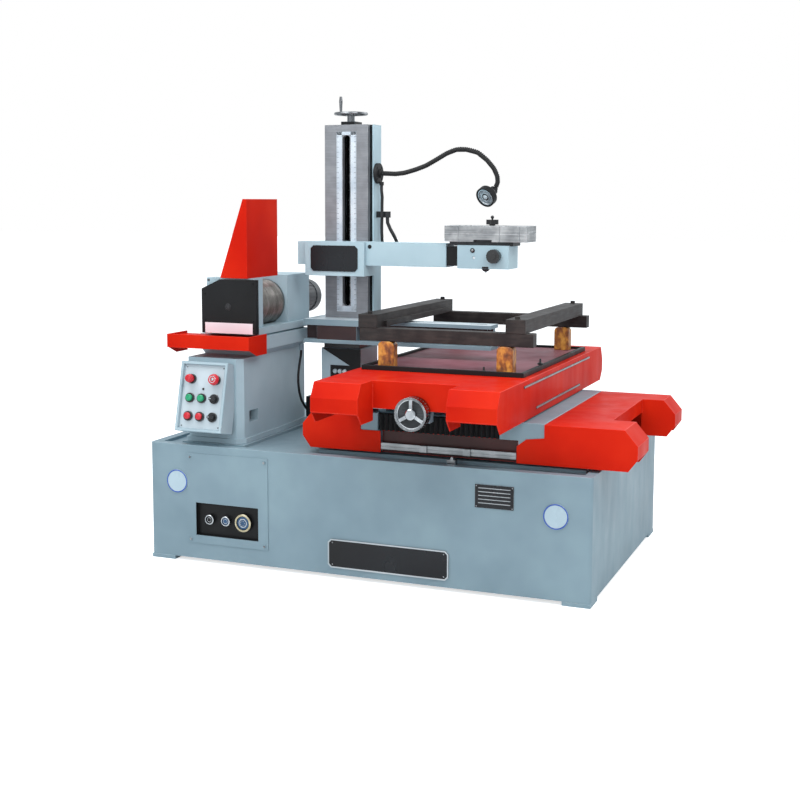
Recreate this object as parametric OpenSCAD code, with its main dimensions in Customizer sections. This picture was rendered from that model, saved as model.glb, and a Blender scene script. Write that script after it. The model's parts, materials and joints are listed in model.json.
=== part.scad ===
// Wire EDM machine, free standing. X runs to the right, Y to the back, Z up.
// The origin lies on the floor, at the middle of the machine's overall length and depth.
// Places on the base are measured from its front left lower corner, places on the
// carriages from the middle of the table.

/* [Base] */
// Length of the base casting
base_len = 1700; // [1650:10:1800]
// Depth of the base casting
base_dep = 1100; // [1060:10:1200]
// Height of the base casting above its pads
base_h = 430; // [400:5:480]
// Wall of the base casting
base_wall = 25; // [18:1:35]
// Thickness of the deck
deck_t = 24; // [16:1:36]
// Depth of the recess in the deck
deck_recess = 12; // [6:1:18]
// Width of the rim round the deck
rim_w = 36; // [30:1:44]
// Radius of the upright corners of the base
base_r = 14; // [6:1:25]
// Height of a levelling pad
pad_h = 15; // [10:1:25]
// Side of a levelling pad
pad_w = 100; // [80:5:130]

/* [Panels on the base] */
// Width of the access panel
panel_w = 337; // [320:1:350]
// Height of the access panel
panel_h = 340; // [320:5:350]
// Distance of the access panel from the left end
panel_x = 160; // [150:5:175]
// Height of the access panel's lower edge
panel_z = 60; // [50:5:75]
// Thickness of sheet panels and plates
plate_t = 3; // [2:0.5:5]
// Width of the window in the access panel
window_w = 262; // [250:2:280]
// Height of the window in the access panel
window_h = 124; // [110:2:140]
// Diameter of the large socket
socket_big_d = 66; // [56:1:72]
// Diameter of the small sockets
socket_small_d = 36; // [28:1:44]
// Length of the long bare plate
name_w = 460; // [420:5:480]
// Height of the long bare plate
name_h = 106; // [90:2:120]
// Width of the small bare plate
rating_w = 138; // [120:2:150]
// Height of the small bare plate
rating_h = 81; // [70:1:95]
// Diameter of the round discs
badge_d = 88; // [70:2:100]

/* [Drum tower] */
// Distance of the tower's left face from the left end
tower_x = 120; // [112:1:130]
// Width of the tower
tower_w = 225; // [215:1:235]
// Distance of the tower's front from the base's front
tower_y = 85; // [80:1:95]
// Depth of the tower
tower_dep = 565; // [540:5:580]
// Height of the tower above the base
tower_h = 320; // [300:5:340]
// Wall of the tower
tower_wall = 18; // [12:1:24]
// Width of the drum bed
drum_bed_w = 280; // [270:1:300]
// Length of the drum bed
drum_bed_len = 380; // [360:5:400]
// Height of the drum bed
drum_bed_h = 76; // [68:1:84]
// Height of the drum's two ways
drum_way_h = 6; // [4:1:10]
// Width of the drip tray
tray_w = 348; // [330:2:360]
// Depth of the drip tray
tray_dep = 145; // [135:1:155]
// Height of the drip tray's front lip
tray_lip = 48; // [40:1:56]
// Height of the drip tray's side cheeks
tray_cheek = 76; // [68:1:80]

/* [Control box] */
// Width of the control box
box_w = 197; // [185:1:210]
// Height of the control box along its face
box_h = 262; // [250:2:270]
// Depth of the control box
box_dep = 86; // [76:1:90]
// Backward tilt of its face
box_tilt = 13.4; // [10:0.2:16]
// Lip round the sunk plate
box_lip = 12; // [9:1:15]
// Depth at which the plate is sunk
box_sink = 12; // [8:1:15]
// Diameter of the push buttons and selectors
button_d = 26; // [22:1:28]
// Travel of a push button
button_stroke = 5; // [3:0.5:6]
// Diameter of the emergency stop
stop_d = 44; // [38:1:50]
// Diameter of the pause button
pause_d = 34; // [30:1:40]

/* [Wire drum] */
// Diameter of the wire drum
drum_d = 180; // [160:2:184]
// Length of the wire drum
drum_len = 200; // [180:2:202]
// Height of the drum's axis above the ways
drum_axis_h = 105; // [103:1:112]
// Distance of the drum's axis from the left end
drum_x = 256; // [250:1:260]
// Diameter of the drum's shaft
shaft_d = 30; // [24:1:36]
// Diameter of the drum motor
motor_d = 130; // [116:2:140]
// Length of the drum motor
motor_len = 235; // [210:5:260]
// Height of the splash hood above the gear cover
hood_h = 296; // [270:2:320]

/* [Column and arms] */
// Distance of the column's middle from the left end
column_x = 558; // [552:1:566]
// Distance of the guide face from the base's front
guide_y = 570; // [566:1:576]
// Width of the column
column_w = 202; // [196:1:208]
// Depth of the column body
column_dep = 74; // [68:1:84]
// Height of the column above the lower arm
column_h = 760; // [700:10:800]
// Thickness of the guide plate
guide_t = 22; // [18:1:26]
// Width of the slot in the guide plate
slot_w = 33; // [28:1:38]
// Width of the scale strips' band
scale_w = 85; // [75:1:95]
// Height of the pedestal above the base
pedestal_h = 325; // [315:5:335]
// Width of the pedestal
pedestal_w = 170; // [156:2:176]
// Height of the insulator under the lower arm
insulator_h = 23; // [18:1:28]
// Height of the lower arm
lower_arm_h = 94; // [88:1:95]
// Depth of the lower arm
lower_arm_dep = 90; // [80:2:96]
// Reach of the lower arm from the column's middle
lower_arm_reach = 632; // [600:2:650]
// Height of the upper arm's underside above the foot of the column
arm_z = 215; // [205:1:230]
// Height of the upper arm
arm_h = 90; // [80:1:96]
// Depth of the upper arm
arm_dep = 90; // [80:1:94]
// Reach of the upper arm from the column's middle
arm_reach = 454; // [430:2:470]
// Diameter of the column's handwheel
column_wheel_d = 134; // [120:2:150]
// Diameter of the column's lead screw
column_screw_d = 22; // [18:1:26]

/* [Upper head] */
// Length of the head box
head_len = 200; // [185:1:210]
// Depth of the head box
head_dep = 118; // [108:1:122]
// Length of the taper slides
slide_len = 320; // [310:2:352]
// Depth of the taper slides
slide_dep = 122; // [116:1:130]
// Height of one taper slide
slide_h = 30; // [24:1:34]
// Diameter of the head's knob
head_knob_d = 52; // [44:1:58]
// Diameter of the guide's knob
guide_knob_d = 46; // [38:1:54]
// Diameter of the wire pulleys
pulley_d = 56; // [46:1:60]

/* [Lamp] */
// Diameter of the lamp's mounting disc
lamp_disc_d = 80; // [66:2:90]
// Diameter of the gooseneck
neck_d = 18; // [14:1:20]
// Diameter of the lamp head
lamp_d = 80; // [70:1:84]
// Length of the lamp head
lamp_len = 72; // [60:1:76]

/* [Carriages] */
// Distance of the table's middle from the base's left end
carriage_x = 1110; // [1090:5:1120]
// Distance of the table's middle from the base's front
carriage_y = 508; // [500:1:516]
// Reach of the lower cover to the right of the table's middle
reach_right = 720; // [700:5:740]
// Reach of the lower cover to the left of the table's middle
reach_left = 510; // [500:1:512]
// Depth of the lower covers
lower_dep = 856; // [840:2:870]
// Height of the lower covers
lower_h = 140; // [134:1:144]
// Thickness of the covers' sheet
sheet = 4; // [3:0.5:5]
// Height of the ways that carry the saddle
x_way_h = 24; // [20:1:28]
// Width of the ways
way_w = 30; // [24:1:36]
// Distance between the saddle's two ways
x_way_gap = 660; // [640:5:680]
// Distance between the table's two ways
y_way_gap = 420; // [400:5:440]
// Height of the ways that carry the table
y_way_h = 22; // [18:1:26]
// Diameter of the lead screws
screw_d = 25; // [20:1:28]

/* [Table] */
// Length of the upper cover
table_len = 1476; // [1440:4:1500]
// Width of the upper cover
table_w = 660; // [640:2:680]
// Height of the upper cover
cover_h = 140; // [134:1:146]
// Depth of the recess in the upper cover's ends
upper_recess = 130; // [124:1:140]
// Width of the recess in the upper cover's ends
upper_recess_w = 312; // [290:2:330]
// Diameter of the table's handwheel
wheel_d = 115; // [100:1:120]
// Depth of the table's handwheel
wheel_dep = 44; // [38:1:48]

/* [Work frame] */
// Width of the work tray
pan_w = 610; // [600:2:630]
// Length of the work tray
pan_len = 890; // [870:5:920]
// Height of the work tray's rim
pan_h = 17; // [13:1:20]
// Height of a pillar
pillar_h = 94; // [88:1:100]
// Width of a pillar
pillar_w = 60; // [50:1:66]
// Depth of the pillars and of the support bars
pillar_dep = 45; // [40:1:48]
// Distance between the support bars
frame_span = 776; // [760:2:790]
// Distance from the table's middle to the frame's middle
frame_y = 84; // [76:1:92]
// Height of a bar
bar_h = 48; // [42:1:54]
// Width of a work bar
bar_w = 72; // [62:1:76]
// Length of the support bars
support_len = 656; // [640:2:670]
// Length of the work bars
work_len = 826; // [824:2:850]

/* [Hidden] */
$fn = 48;

// clearances and overrun
over = 2;
fit = 0.1;
gap = 0.3;
play = 0.5;

x0 = -(carriage_x + reach_right) / 2;
y0 = -carriage_y;
deck_z = base_h - deck_recess;

// base details
rib_t = 20;
carriage_pad_x = 650;
carriage_pad_edge = 50;
carriage_pad_len = base_len - carriage_pad_x - carriage_pad_edge;
carriage_pad_y = 110;
carriage_pad_dep = 796;
tower_pad_edge = 20;
pedestal_pad_edge = 16;
window_left = 35;
window_low = 30;
window_x = panel_x + window_left;
window_z = panel_z + window_low;
socket_sink = 14;
socket_z = window_z + window_h / 2;
socket_share = [0.21, 0.47, 0.75];
socket_len = 12;
panel_screw_d = 12;
panel_screw_h = 4;
panel_screw_in = 14;
name_x = 738;
name_z = 25;
name_clip = 12;
name_edge = 5;
rating_right = 270;
rating_x = base_len - rating_right - rating_w;
rating_z = 296;
rating_line_share = [0.2, 0.36, 0.52, 0.68, 0.84];
rating_line_h = 2;
badge_z = 289;
badge_x = 116;
badge_right = 123;
badge_ring = 5;
badge_relief = 1;
switch_x = 1172;
switch_y = 46;
switch_w = 30;
switch_dep = 26;
switch_h = 24;
switch_roller_d = 9;

// tower and control box
tower_fillet = 22;
tower_fold = 312;
tower_taper = 15;
tower_foot = 8;
tower_foot_h = 18;
tower_hole_y = 61;
tower_hole_w = 67;
tower_hole_z = 75;
tower_hole_h = 43;
drum_bed_x = 100;
drum_bed_y = 210;
drum_bed_flare = 25;
drum_way_w = 34;
drum_way_in = 22;
drum_top_z = base_h + tower_h + drum_bed_h + drum_way_h;
tray_x = 40;
tray_floor = 10;
tray_chamfer = 32;
box_x = 118;
box_face_y = -20;
box_face_z = 485;
box_wall = 3;
box_room = 44;
bezel_wall = 4;
bezel_d = button_d + 2 * bezel_wall;
bezel_h = 9;
button_x_shares = [0.24, 0.49, 0.76];
button_z_shares = [0.75, 0.48, 0.22];
bezel_places = [[0, 0], [2, 0], [0, 1], [1, 1], [2, 1], [0, 2], [1, 2], [2, 2]];
button_stand = 1;
button_out = button_stroke + button_stand;
button_in = 16;
mushroom_stand = 7;
mushroom_gap = button_stroke + mushroom_stand;
mushroom_h = 12;
lever_w = 9;
lever_h = 9;

// column, arms and head
pedestal_y = 520;
pedestal_dep = 170;
pedestal_wall = 16;
pedestal_off = 3;
pedestal_x = column_x - pedestal_w / 2 - pedestal_off;
foot_z = base_h + pedestal_h + insulator_h + lower_arm_h;
foot_left = 146;
foot_x = column_x - foot_left;
foot_w = 262;
foot_t = 24;
lower_arm_y = 475;
flange_t = 14;
web_t = 22;
insulator_in = 8;
ped_panel_w = 83;
ped_panel_h = 49;
ped_panel_z = 208;
ped_panel_x = 38;
ped_socket_d = 22;
column_in = 94;
column_left = column_x - column_in;
guide_w = 185;
body_y = guide_y + guide_t;
groove_w = 10;
groove_dep = 12;
channel_w = 64;
channel_dep = 46;
channel_z = 28;
slot_z = 48;
slot_top = 41;
slot_len = column_h - slot_z - slot_top;
scale_z = 25;
scale_top = 27;
scale_len = column_h - scale_z - scale_top;
scale_t = 1.2;
scale_lines = 34;
scale_line_h = 1.6;
scale_line_w = 10;
cap_t = 13;
cap_in = 12;
screw_y = body_y + channel_dep / 2;
wheel_hub_d = 30;
wheel_hub_h = 22;
wheel_rim_d = 11;
wheel_z = 31;
spoke_d = 9;
crank_d = 9;
crank_h = 55;
crank_grip_d = 14;
crank_turn = -106;
saddle_left = 127;
saddle_right = 125;
saddle_drop = 42;
cheek_dep = 34;
cheek_right_dep = 9;
arm_y = 470;
arm_stub = 166;
saddle_front = 15;
plate_in = 20;
plate_x_share = 0.5;
arm_plate_w = 200;
arm_plate_h = 100;
nut_w = 52;
nut_h = 60;
nut_dep = 34;
spacer_len = 50;
spacer_in = 6;
head_wall = 8;
head_drop = 2;
head_rise = 13;
slide_bed_in = 14;
slide_back = 50;
head_x = column_x + arm_reach + spacer_len;
head_front = 15;
head_under = 5;
head_y = arm_y - head_front;
head_top = foot_z + arm_z + arm_h - head_under;
head_knob_share = 0.73;
head_knob_len = 24;
head_knob_drop = 39;
slide_z = head_top + head_rise;
slide_front = 5;
slide_y = head_y - slide_front;
seam_w = 1.2;
seam_d = 3;
seam_shares = [0.168, 0.67, 0.912];
dovetail_w = 70;
guide_knob_share = 0.5253;
guide_knob_h = 18;
guide_stem_h = 4;
ball_d = 13;
ball_stem_d = 7;
ball_stem_h = 9;
knurl_count = 18;
knurl_d = 4;
pulley_t = 12;
pulley_groove = 4;
pin_d = 10;
wire_in = 93;
wire_x = head_x + wire_in;
upper_pulley_z = head_top - 46;
lower_pulley_z = foot_z - 37;

// lamp and cords
lamp_y = 622;
lamp_z = 1443;
lamp_disc_t = 12;
lamp_boss_d = 34;
lamp_boss_h = 10;
neck_points = [
  [688, 622, 1443], [712, 626, 1442], [740, 636, 1441], [772, 647, 1445],
  [814, 656, 1457], [858, 660, 1473], [902, 660, 1496], [944, 660, 1519],
  [984, 660, 1533], [1024, 660, 1533], [1070, 660, 1521], [1108, 660, 1492],
  [1136, 660, 1460], [1150, 660, 1430], [1152, 660, 1408], [1146, 660, 1392]
];
lamp_at = [1142, 660, 1382];
lamp_tilt = 118;
lamp_yaw = 250;
lamp_back_d = 34;
lamp_bell = 0.55;
lamp_rim = 6;
lens_in = 5;
lamp_ball_d = 21;
cable_d = 12;
hose_d = 14;
cable_points = [
  [686, 622, 1396], [686, 622, 1376], [689, 622, 1350], [688, 622, 1320],
  [688, 622, 1294], [688, 622, 1270], [687, 622, 1242], [687, 622, 1212],
  [688, 624, 1180], [691, 628, 1152], [691, 632, 1138], [684, 632, 1130],
  [672, 632, 1130]
];
hose_points = [
  [711, 622, 1270], [712, 622, 1250], [722, 624, 1226], [735, 628, 1202],
  [746, 634, 1176], [748, 640, 1150], [738, 644, 1126], [716, 645, 1106],
  [690, 645, 1100], [672, 645, 1100]
];
clamp_z = 1270;
clamp_h = 24;
clamp_d = 26;
cord_sides = 12;
tower_cable_d = 10;
tower_cable_points = [
  [362, 556, 736], [362, 556, 732], [361.5, 553, 711.5], [360.5, 547, 691.5],
  [360, 541, 671.5], [359.5, 536, 651], [359.5, 533, 630.5], [359.5, 532.5, 609.5],
  [360, 534.5, 589], [360.5, 539, 568.5], [361.5, 546.5, 549], [362.5, 556, 530.5],
  [364, 569, 514.5], [365, 584, 500], [365.5, 596, 489.5], [366, 607.5, 478.5],
  [367, 617.5, 466.5], [367.5, 624, 451.5], [368, 626, 436], [368, 626, 432]
];
cable_end = tower_cable_points[len(tower_cable_points) - 1];
gland_d = 18;
gland_h = 14;

// drives under the table
x_screw_y = 605;
x_screw_z = 75;
x_motor_w = 84;
x_motor_x = 378;
x_motor_len = 84;
x_bearing_edge = 112;
x_bearing_x = base_len - x_bearing_edge;
x_bearing_t = 30;
x_bearing_w = 70;
saddle_z = base_h + x_way_h + gap;
saddle_h = 130;
saddle_x = -280;
saddle_len = 680;
saddle_wall = 28;
saddle_top_t = 24;
saddle_top = saddle_z + saddle_h;
runner_w = 60;
pocket_dep = 28;
bellows_x = -215;
bellows_len = 455;
bellows_h = 60;
pleats = 24;
skirt_x = -202;
skirt_len = 505;
skirt_h = 78;
skirt_in = 20;
lower_z = 12;
left_notch = 78;
end_chamfer = 45;
left_recess = 165;
right_recess = 126;
end_bevel_h = 53;
end_bevel_low = 31;
end_foot_h = 42;
horn_front = 186;
horn_rear = 150;
recess_wall_h = 52;
notch_run = [33, 100];
notch_rise = [59, 85, 93];
dog_z = 13;
dog_h = 23;
dog_t = 6;
dog_block_w = 26;
dog_places_share = [0.3, 0.62];

// table
table_gap = 4;
cover_z = saddle_top + table_gap;
table_t = 24;
runner_in = 268;
runner_len = table_len - 2 * runner_in;
table_plate_w = 600;
table_plate_in = 178;
table_plate_len = table_len - 2 * table_plate_in;
y_screw_z = cover_z + 38;
y_bearing_in = 138;
y_bearing_y = table_len / 2 - y_bearing_in;
y_bearing_t = 40;
y_bearing_w = 96;
y_motor_w = 72;
y_motor_len = 100;
cover_bevel_y = 30;
cover_bevel_z = 52;
cover_foot_y = 35;
cover_foot_z = 40;
trim_h = 8;
trim_t = 3;
trim_in = 539;
trim_len = table_len - trim_in;
trim_z = 115;
trim_low_in = 852;
trim_low_len = table_len - trim_low_in;
trim_low_z = 24;
trim_y = 27;
boss_d = 52;
wheel_bore_d = 34;
wheel_rim = 8;
wheel_grip_share = 0.42;
pan_rim = 14;
pan_floor = 8;
pillar_reach = 225;
pillar_round = 18;
work_left = 331;
work_right = 228;
ledge_w = 12;
ledge_h = 20;
bolt_d = 18;
bolt_h = 10;

// drum carriage
drum_y = 240;
carriage_plate_h = 26;
drum_z = drum_top_z + drum_axis_h;
trough = 6;
front_bracket_y = 172;
front_bracket_dep = 65;
bracket_w = 206;
bracket_rise = 108;
gear_y = 150;
gear_t = 21.7;
gear_z = 4;
gear_x = 143;
gear_w = 232;
gear_h = 204;
gear_clip_w = 78;
gear_clip_h = 36;
gear_label_w = 204;
gear_label_h = 41;
gear_label_t = 0.8;
rear_bracket_y = 445;
rear_bracket_dep = 55;
rear_box_dep = 195;
housing_wall = 8;
housing_bore = 178;
flange_len = 95;
flange_d = 150;
fan_len = 40;
fan_d = 138;
motor_box = [60, 70, 32];
motor_fins = 24;
fin_d = 5;
hood_t = 3;
hood_x = 80;
hood_y = 155;
hood_dep = 250;
hood_foot = 115;
hood_cap = 19;
hood_cap_w = 16;
hub_t = 10;
drum_wall = 6;

// helpers
module on_base() translate([x0, y0, pad_h]) children();
module on_table() translate([x0 + carriage_x, 0, pad_h]) children();
module block(low, high) translate(low) cube(high - low);
module rod_x(at, d, l) translate(at) rotate([0, 90, 0]) cylinder(d = d, h = l);
module rod_y(at, d, l) translate(at) rotate([-90, 0, 0]) cylinder(d = d, h = l);
module rod_z(at, d, l) translate(at) cylinder(d = d, h = l);
// an outline in Y and Z, drawn out along X
module along_x(x, l) translate([x, 0, 0]) rotate([90, 0, 90]) linear_extrude(l) children();
// an outline in X and Z, drawn out along Y
module along_y(y, l) translate([0, y + l, 0]) rotate([90, 0, 0]) linear_extrude(l) children();
module round_rect(w, h, r) union() {
  translate([r, 0]) square([w - 2 * r, h]);
  translate([0, r]) square([w, h - 2 * r]);
  for (x = [r, w - r], y = [r, h - r]) translate([x, y]) circle(r);
}
module clipped_rect(w, h, c) polygon([
  [c, 0], [w - c, 0], [w, c], [w, h - c], [w - c, h], [c, h], [0, h - c], [0, c]
]);
function unit(v) = v / norm(v);
function tangent(p, i) =
  i == 0 ? unit(p[1] - p[0])
  : i == len(p) - 1 ? unit(p[i] - p[i - 1])
  : unit(unit(p[i] - p[i - 1]) + unit(p[i + 1] - p[i]));
// a round cord through points, with a ring of corners square to the route at each
module cord(points, d, side) {
  n = len(points);
  rings = [for (i = [0:n - 1])
    let (t = tangent(points, i), u = unit(cross(t, side)), v = cross(t, u))
    for (k = [0:cord_sides - 1])
      let (a = 360 * k / cord_sides) points[i] + d / 2 * (cos(a) * u + sin(a) * v)];
  walls = [for (i = [0:n - 2], k = [0:cord_sides - 1])
    let (m = (k + 1) % cord_sides, a = i * cord_sides, b = a + cord_sides)
    each [[a + k, b + k, b + m], [a + k, b + m, a + m]]];
  start = [for (k = [1:cord_sides - 2]) [0, k, k + 1]];
  last = (n - 1) * cord_sides;
  end = [for (k = [1:cord_sides - 2]) [last, last + k + 1, last + k]];
  polyhedron(points = rings, faces = concat(walls, start, end));
}

// the bed
module base_casting() color("#96AEBB") on_base() difference() {
  union() {
    difference() {
      linear_extrude(base_h) round_rect(base_len, base_dep, base_r);
      block([rim_w, rim_w, deck_z], [base_len - rim_w, base_dep - rim_w, base_h + over]);
      block([base_wall, base_wall, -over],
        [base_len - base_wall, base_dep - base_wall, deck_z - deck_t]);
    }
    block([base_len / 2 - rib_t / 2, base_wall - over, 0],
      [base_len / 2 + rib_t / 2, base_dep - base_wall + over, deck_z - deck_t + over]);
    block([tower_x - tower_pad_edge, tower_y - tower_pad_edge, deck_z - over],
      [tower_x + tower_w + tower_pad_edge, tower_y + tower_dep + tower_pad_edge, base_h]);
    block([pedestal_x - pedestal_pad_edge, pedestal_y - pedestal_pad_edge, deck_z - over],
      [carriage_pad_x + over, pedestal_y + pedestal_dep + pedestal_pad_edge, base_h]);
    block([carriage_pad_x, carriage_pad_y, deck_z - over],
      [carriage_pad_x + carriage_pad_len, carriage_pad_y + carriage_pad_dep, base_h]);
    rod_z([cable_end[0], cable_end[1], deck_z - over], gland_d, cable_end[2] - deck_z + over);
  }
  block([window_x - box_wall, -over, window_z - box_wall],
    [window_x + window_w + box_wall, base_wall + over, window_z + window_h + box_wall]);
}
module levelling_pads() color("#6F7C83") on_base()
  for (x = [0, base_len - pad_w], y = [0, base_dep - pad_w])
    translate([x, y, -pad_h]) cube([pad_w, pad_w, pad_h]);
module access_panel() color("#9DB5C2") on_base() difference() {
  union() {
    block([panel_x, -plate_t, panel_z], [panel_x + panel_w, 0, panel_z + panel_h]);
    for (x = [panel_screw_in, panel_w - panel_screw_in])
      for (z = [panel_screw_in, panel_h - panel_screw_in])
        rod_y([panel_x + x, -plate_t - panel_screw_h, panel_z + z], panel_screw_d, panel_screw_h + over);
  }
  block([window_x, -plate_t - over, window_z], [window_x + window_w, over, window_z + window_h]);
}
module socket_panel() color("#1D1F22") on_base() union() {
  difference() {
    block([window_x - box_wall, 0, window_z - box_wall],
      [window_x + window_w + box_wall, socket_sink + plate_t, window_z + window_h + box_wall]);
    block([window_x, -over, window_z], [window_x + window_w, socket_sink, window_z + window_h]);
  }
  for (i = [0:2]) {
    d = i == 2 ? socket_big_d : socket_small_d;
    at = [window_x + window_w * socket_share[i], socket_sink - socket_len, socket_z];
    difference() {
      rod_y(at, d, socket_len + plate_t);
      rod_y(at - [0, over, 0], d - 2 * box_wall, socket_len / 2 + over);
    }
    rod_y(at, d / 2, socket_len);
  }
}
module name_plates() color("#15171A") on_base() union() {
  translate([name_x, 0, name_z]) along_y(-plate_t, plate_t) clipped_rect(name_w, name_h, name_clip);
  difference() {
    translate([name_x, 0, name_z]) along_y(-plate_t - badge_relief, plate_t)
      clipped_rect(name_w, name_h, name_clip);
    translate([name_x + name_edge, 0, name_z + name_edge]) along_y(-2 * plate_t, 2 * plate_t)
      clipped_rect(name_w - 2 * name_edge, name_h - 2 * name_edge, name_clip - name_edge / 2);
  }
  block([rating_x, -plate_t, rating_z], [rating_x + rating_w, 0, rating_z + rating_h]);
  for (share = rating_line_share)
    block([rating_x + name_clip, -plate_t - badge_relief, rating_z + rating_h * share],
      [rating_x + rating_w - name_clip, -plate_t / 2, rating_z + rating_h * share + rating_line_h]);
  for (x = [badge_x, base_len - badge_right]) {
    rod_y([x, -plate_t, badge_z], badge_d, plate_t);
    difference() {
      rod_y([x, -plate_t - badge_relief, badge_z], badge_d, plate_t);
      rod_y([x, -plate_t - over, badge_z], badge_d - 2 * badge_ring, over);
    }
  }
}
module limit_switch() color("#3B3E42") on_base() union() {
  block([switch_x, switch_y, deck_z], [switch_x + switch_w, switch_y + switch_dep, deck_z + switch_h]);
  block([switch_x + switch_w / 3, switch_y + switch_dep / 3, deck_z + switch_h],
    [switch_x + 2 * switch_w / 3, switch_y + 2 * switch_dep / 3, deck_z + switch_h + switch_roller_d / 2]);
  rod_y([switch_x + switch_w / 2, switch_y + switch_dep / 3, deck_z + switch_h + switch_roller_d / 2],
    switch_roller_d, switch_dep / 3);
}
module tower_outline(grow) polygon([
  [-grow, -grow], [tower_w - tower_fillet, -grow], [tower_w + grow, tower_fillet],
  [tower_w + grow, tower_fold], [tower_w - tower_taper + grow, tower_dep + grow],
  [-grow, tower_dep + grow]
]);
module drum_tower() color("#97ABB5") on_base() difference() {
  union() {
    translate([tower_x, tower_y, base_h]) {
      linear_extrude(tower_h) tower_outline(0);
      linear_extrude(tower_foot_h) tower_outline(tower_foot);
    }
    drum_bed();
  }
  block([tower_x + tower_wall, tower_y + tower_wall, base_h - over],
    [tower_x + tower_w - tower_taper - tower_wall, tower_y + tower_dep - tower_wall,
      base_h + tower_h - tower_wall]);
  block([tower_x + tower_w / 2, tower_y + tower_hole_y, base_h + tower_hole_z],
    [tower_x + tower_w + over, tower_y + tower_hole_y + tower_hole_w,
      base_h + tower_hole_z + tower_hole_h]);
}
// the bed that is cast on the tower, with the two ways of the drum carriage
module drum_bed() {
  translate([0, 0, base_h + tower_h]) along_y(drum_bed_y, drum_bed_len) polygon([
    [tower_x, 0], [tower_x + tower_w, 0],
    [drum_bed_x + drum_bed_w, drum_bed_flare], [drum_bed_x + drum_bed_w, drum_bed_h],
    [drum_bed_x, drum_bed_h], [drum_bed_x, drum_bed_flare]
  ]);
  for (x = [drum_bed_x + drum_way_in, drum_bed_x + drum_bed_w - drum_way_in - drum_way_w])
    block([x, drum_bed_y, drum_top_z - drum_way_h - over],
      [x + drum_way_w, drum_bed_y + drum_bed_len, drum_top_z]);
  rod_z([tower_cable_points[0][0], tower_cable_points[0][1], tower_cable_points[0][2]],
    gland_d, base_h + tower_h + drum_bed_flare - tower_cable_points[0][2] + over);
}
module drip_tray() color("#D9332A") on_base() difference() {
  union() {
    block([tray_x, drum_bed_y - tray_dep, drum_top_z - tray_lip],
      [tray_x + tray_w, drum_bed_y, drum_top_z + plate_t]);
    translate([0, drum_bed_y, drum_top_z + plate_t]) along_x(tray_x, tray_w) polygon([
      [-tray_dep, 0], [0, 0], [0, -tray_cheek], [tray_chamfer - tray_dep + tray_chamfer, -tray_cheek],
      [-tray_dep, -tray_lip]
    ]);
  }
  block([tray_x + plate_t, drum_bed_y - tray_dep + plate_t, drum_top_z + plate_t - tray_floor],
    [tray_x + tray_w - plate_t, drum_bed_y + over, drum_top_z + plate_t + over]);
  block([tray_x + plate_t, drum_bed_y - tray_dep + plate_t, drum_top_z - tray_cheek - over],
    [tray_x + tray_w - plate_t, drum_bed_y + over, drum_top_z - tray_floor]);
  block([tray_x - over, drum_bed_y - tray_dep - over, drum_top_z - tray_cheek - over],
    [tray_x + tray_w - plate_t, drum_bed_y - tray_dep + plate_t + over, drum_top_z - tray_lip]);
}

// the control box, in a frame with X along its face, Y into it and Z up the face
module on_box() on_base() translate([box_x, box_face_y, box_face_z]) rotate([-box_tilt, 0, 0]) children();
module on_button(column, row) on_box()
  translate([box_w * button_x_shares[column], box_sink, box_h * button_z_shares[row]])
    rotate([-90, 0, 0]) children();
module control_box() color("#A9BAC1") difference() {
  on_box() cube([box_w, box_dep, box_h]);
  on_box() block([box_lip, -over, box_lip],
    [box_w - box_lip, box_sink + plate_t + box_room, box_h - box_lip]);
  on_base() block([box_x - over, tower_y, base_h - over],
    [box_x + box_w + over, tower_y + box_dep, base_h + tower_h]);
}
module control_plate() color("#D5DDE0") difference() {
  union() {
    on_box() block([box_lip, box_sink, box_lip], [box_w - box_lip, box_sink + plate_t, box_h - box_lip]);
    for (p = bezel_places)
      on_button(p[0], p[1]) translate([0, 0, -bezel_h]) cylinder(d = bezel_d, h = bezel_h + plate_t);
  }
  for (p = bezel_places) on_button(p[0], p[1]) translate([0, 0, -bezel_h - over])
    cylinder(d = button_d + 2 * fit, h = bezel_h + plate_t + 2 * over);
}
// a plunger that fills its bezel and stands out of it
module plunger(out) translate([0, 0, -bezel_h - out]) cylinder(d = button_d, h = bezel_h + out + button_in);
module mushroom(d) {
  plunger(mushroom_gap);
  translate([0, 0, -bezel_h - mushroom_gap - mushroom_h]) cylinder(d1 = d * 0.8, d2 = d, h = mushroom_h);
}
// a selector's body with its lever across the front
module selector() {
  plunger(button_out);
  translate([-button_d / 2 + fit, -lever_w / 2, -bezel_h - button_out - lever_h])
    cube([button_d - 2 * fit, lever_w, lever_h + over]);
}
module e_stop() color("#D8202A") on_button(2, 0) mushroom(stop_d);
module pause_button() color("#D8202A") on_button(0, 0) mushroom(pause_d);
module green_button_1() color("#1FA36B") on_button(0, 1) plunger(button_out);
module green_button_2() color("#1FA36B") on_button(1, 1) plunger(button_out);
module selector_1() color("#22242A") on_button(2, 1) selector();
module red_button_1() color("#C8243A") on_button(0, 2) plunger(button_out);
module red_button_2() color("#C8243A") on_button(1, 2) plunger(button_out);
module selector_2() color("#22242A") on_button(2, 2) selector();

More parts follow.
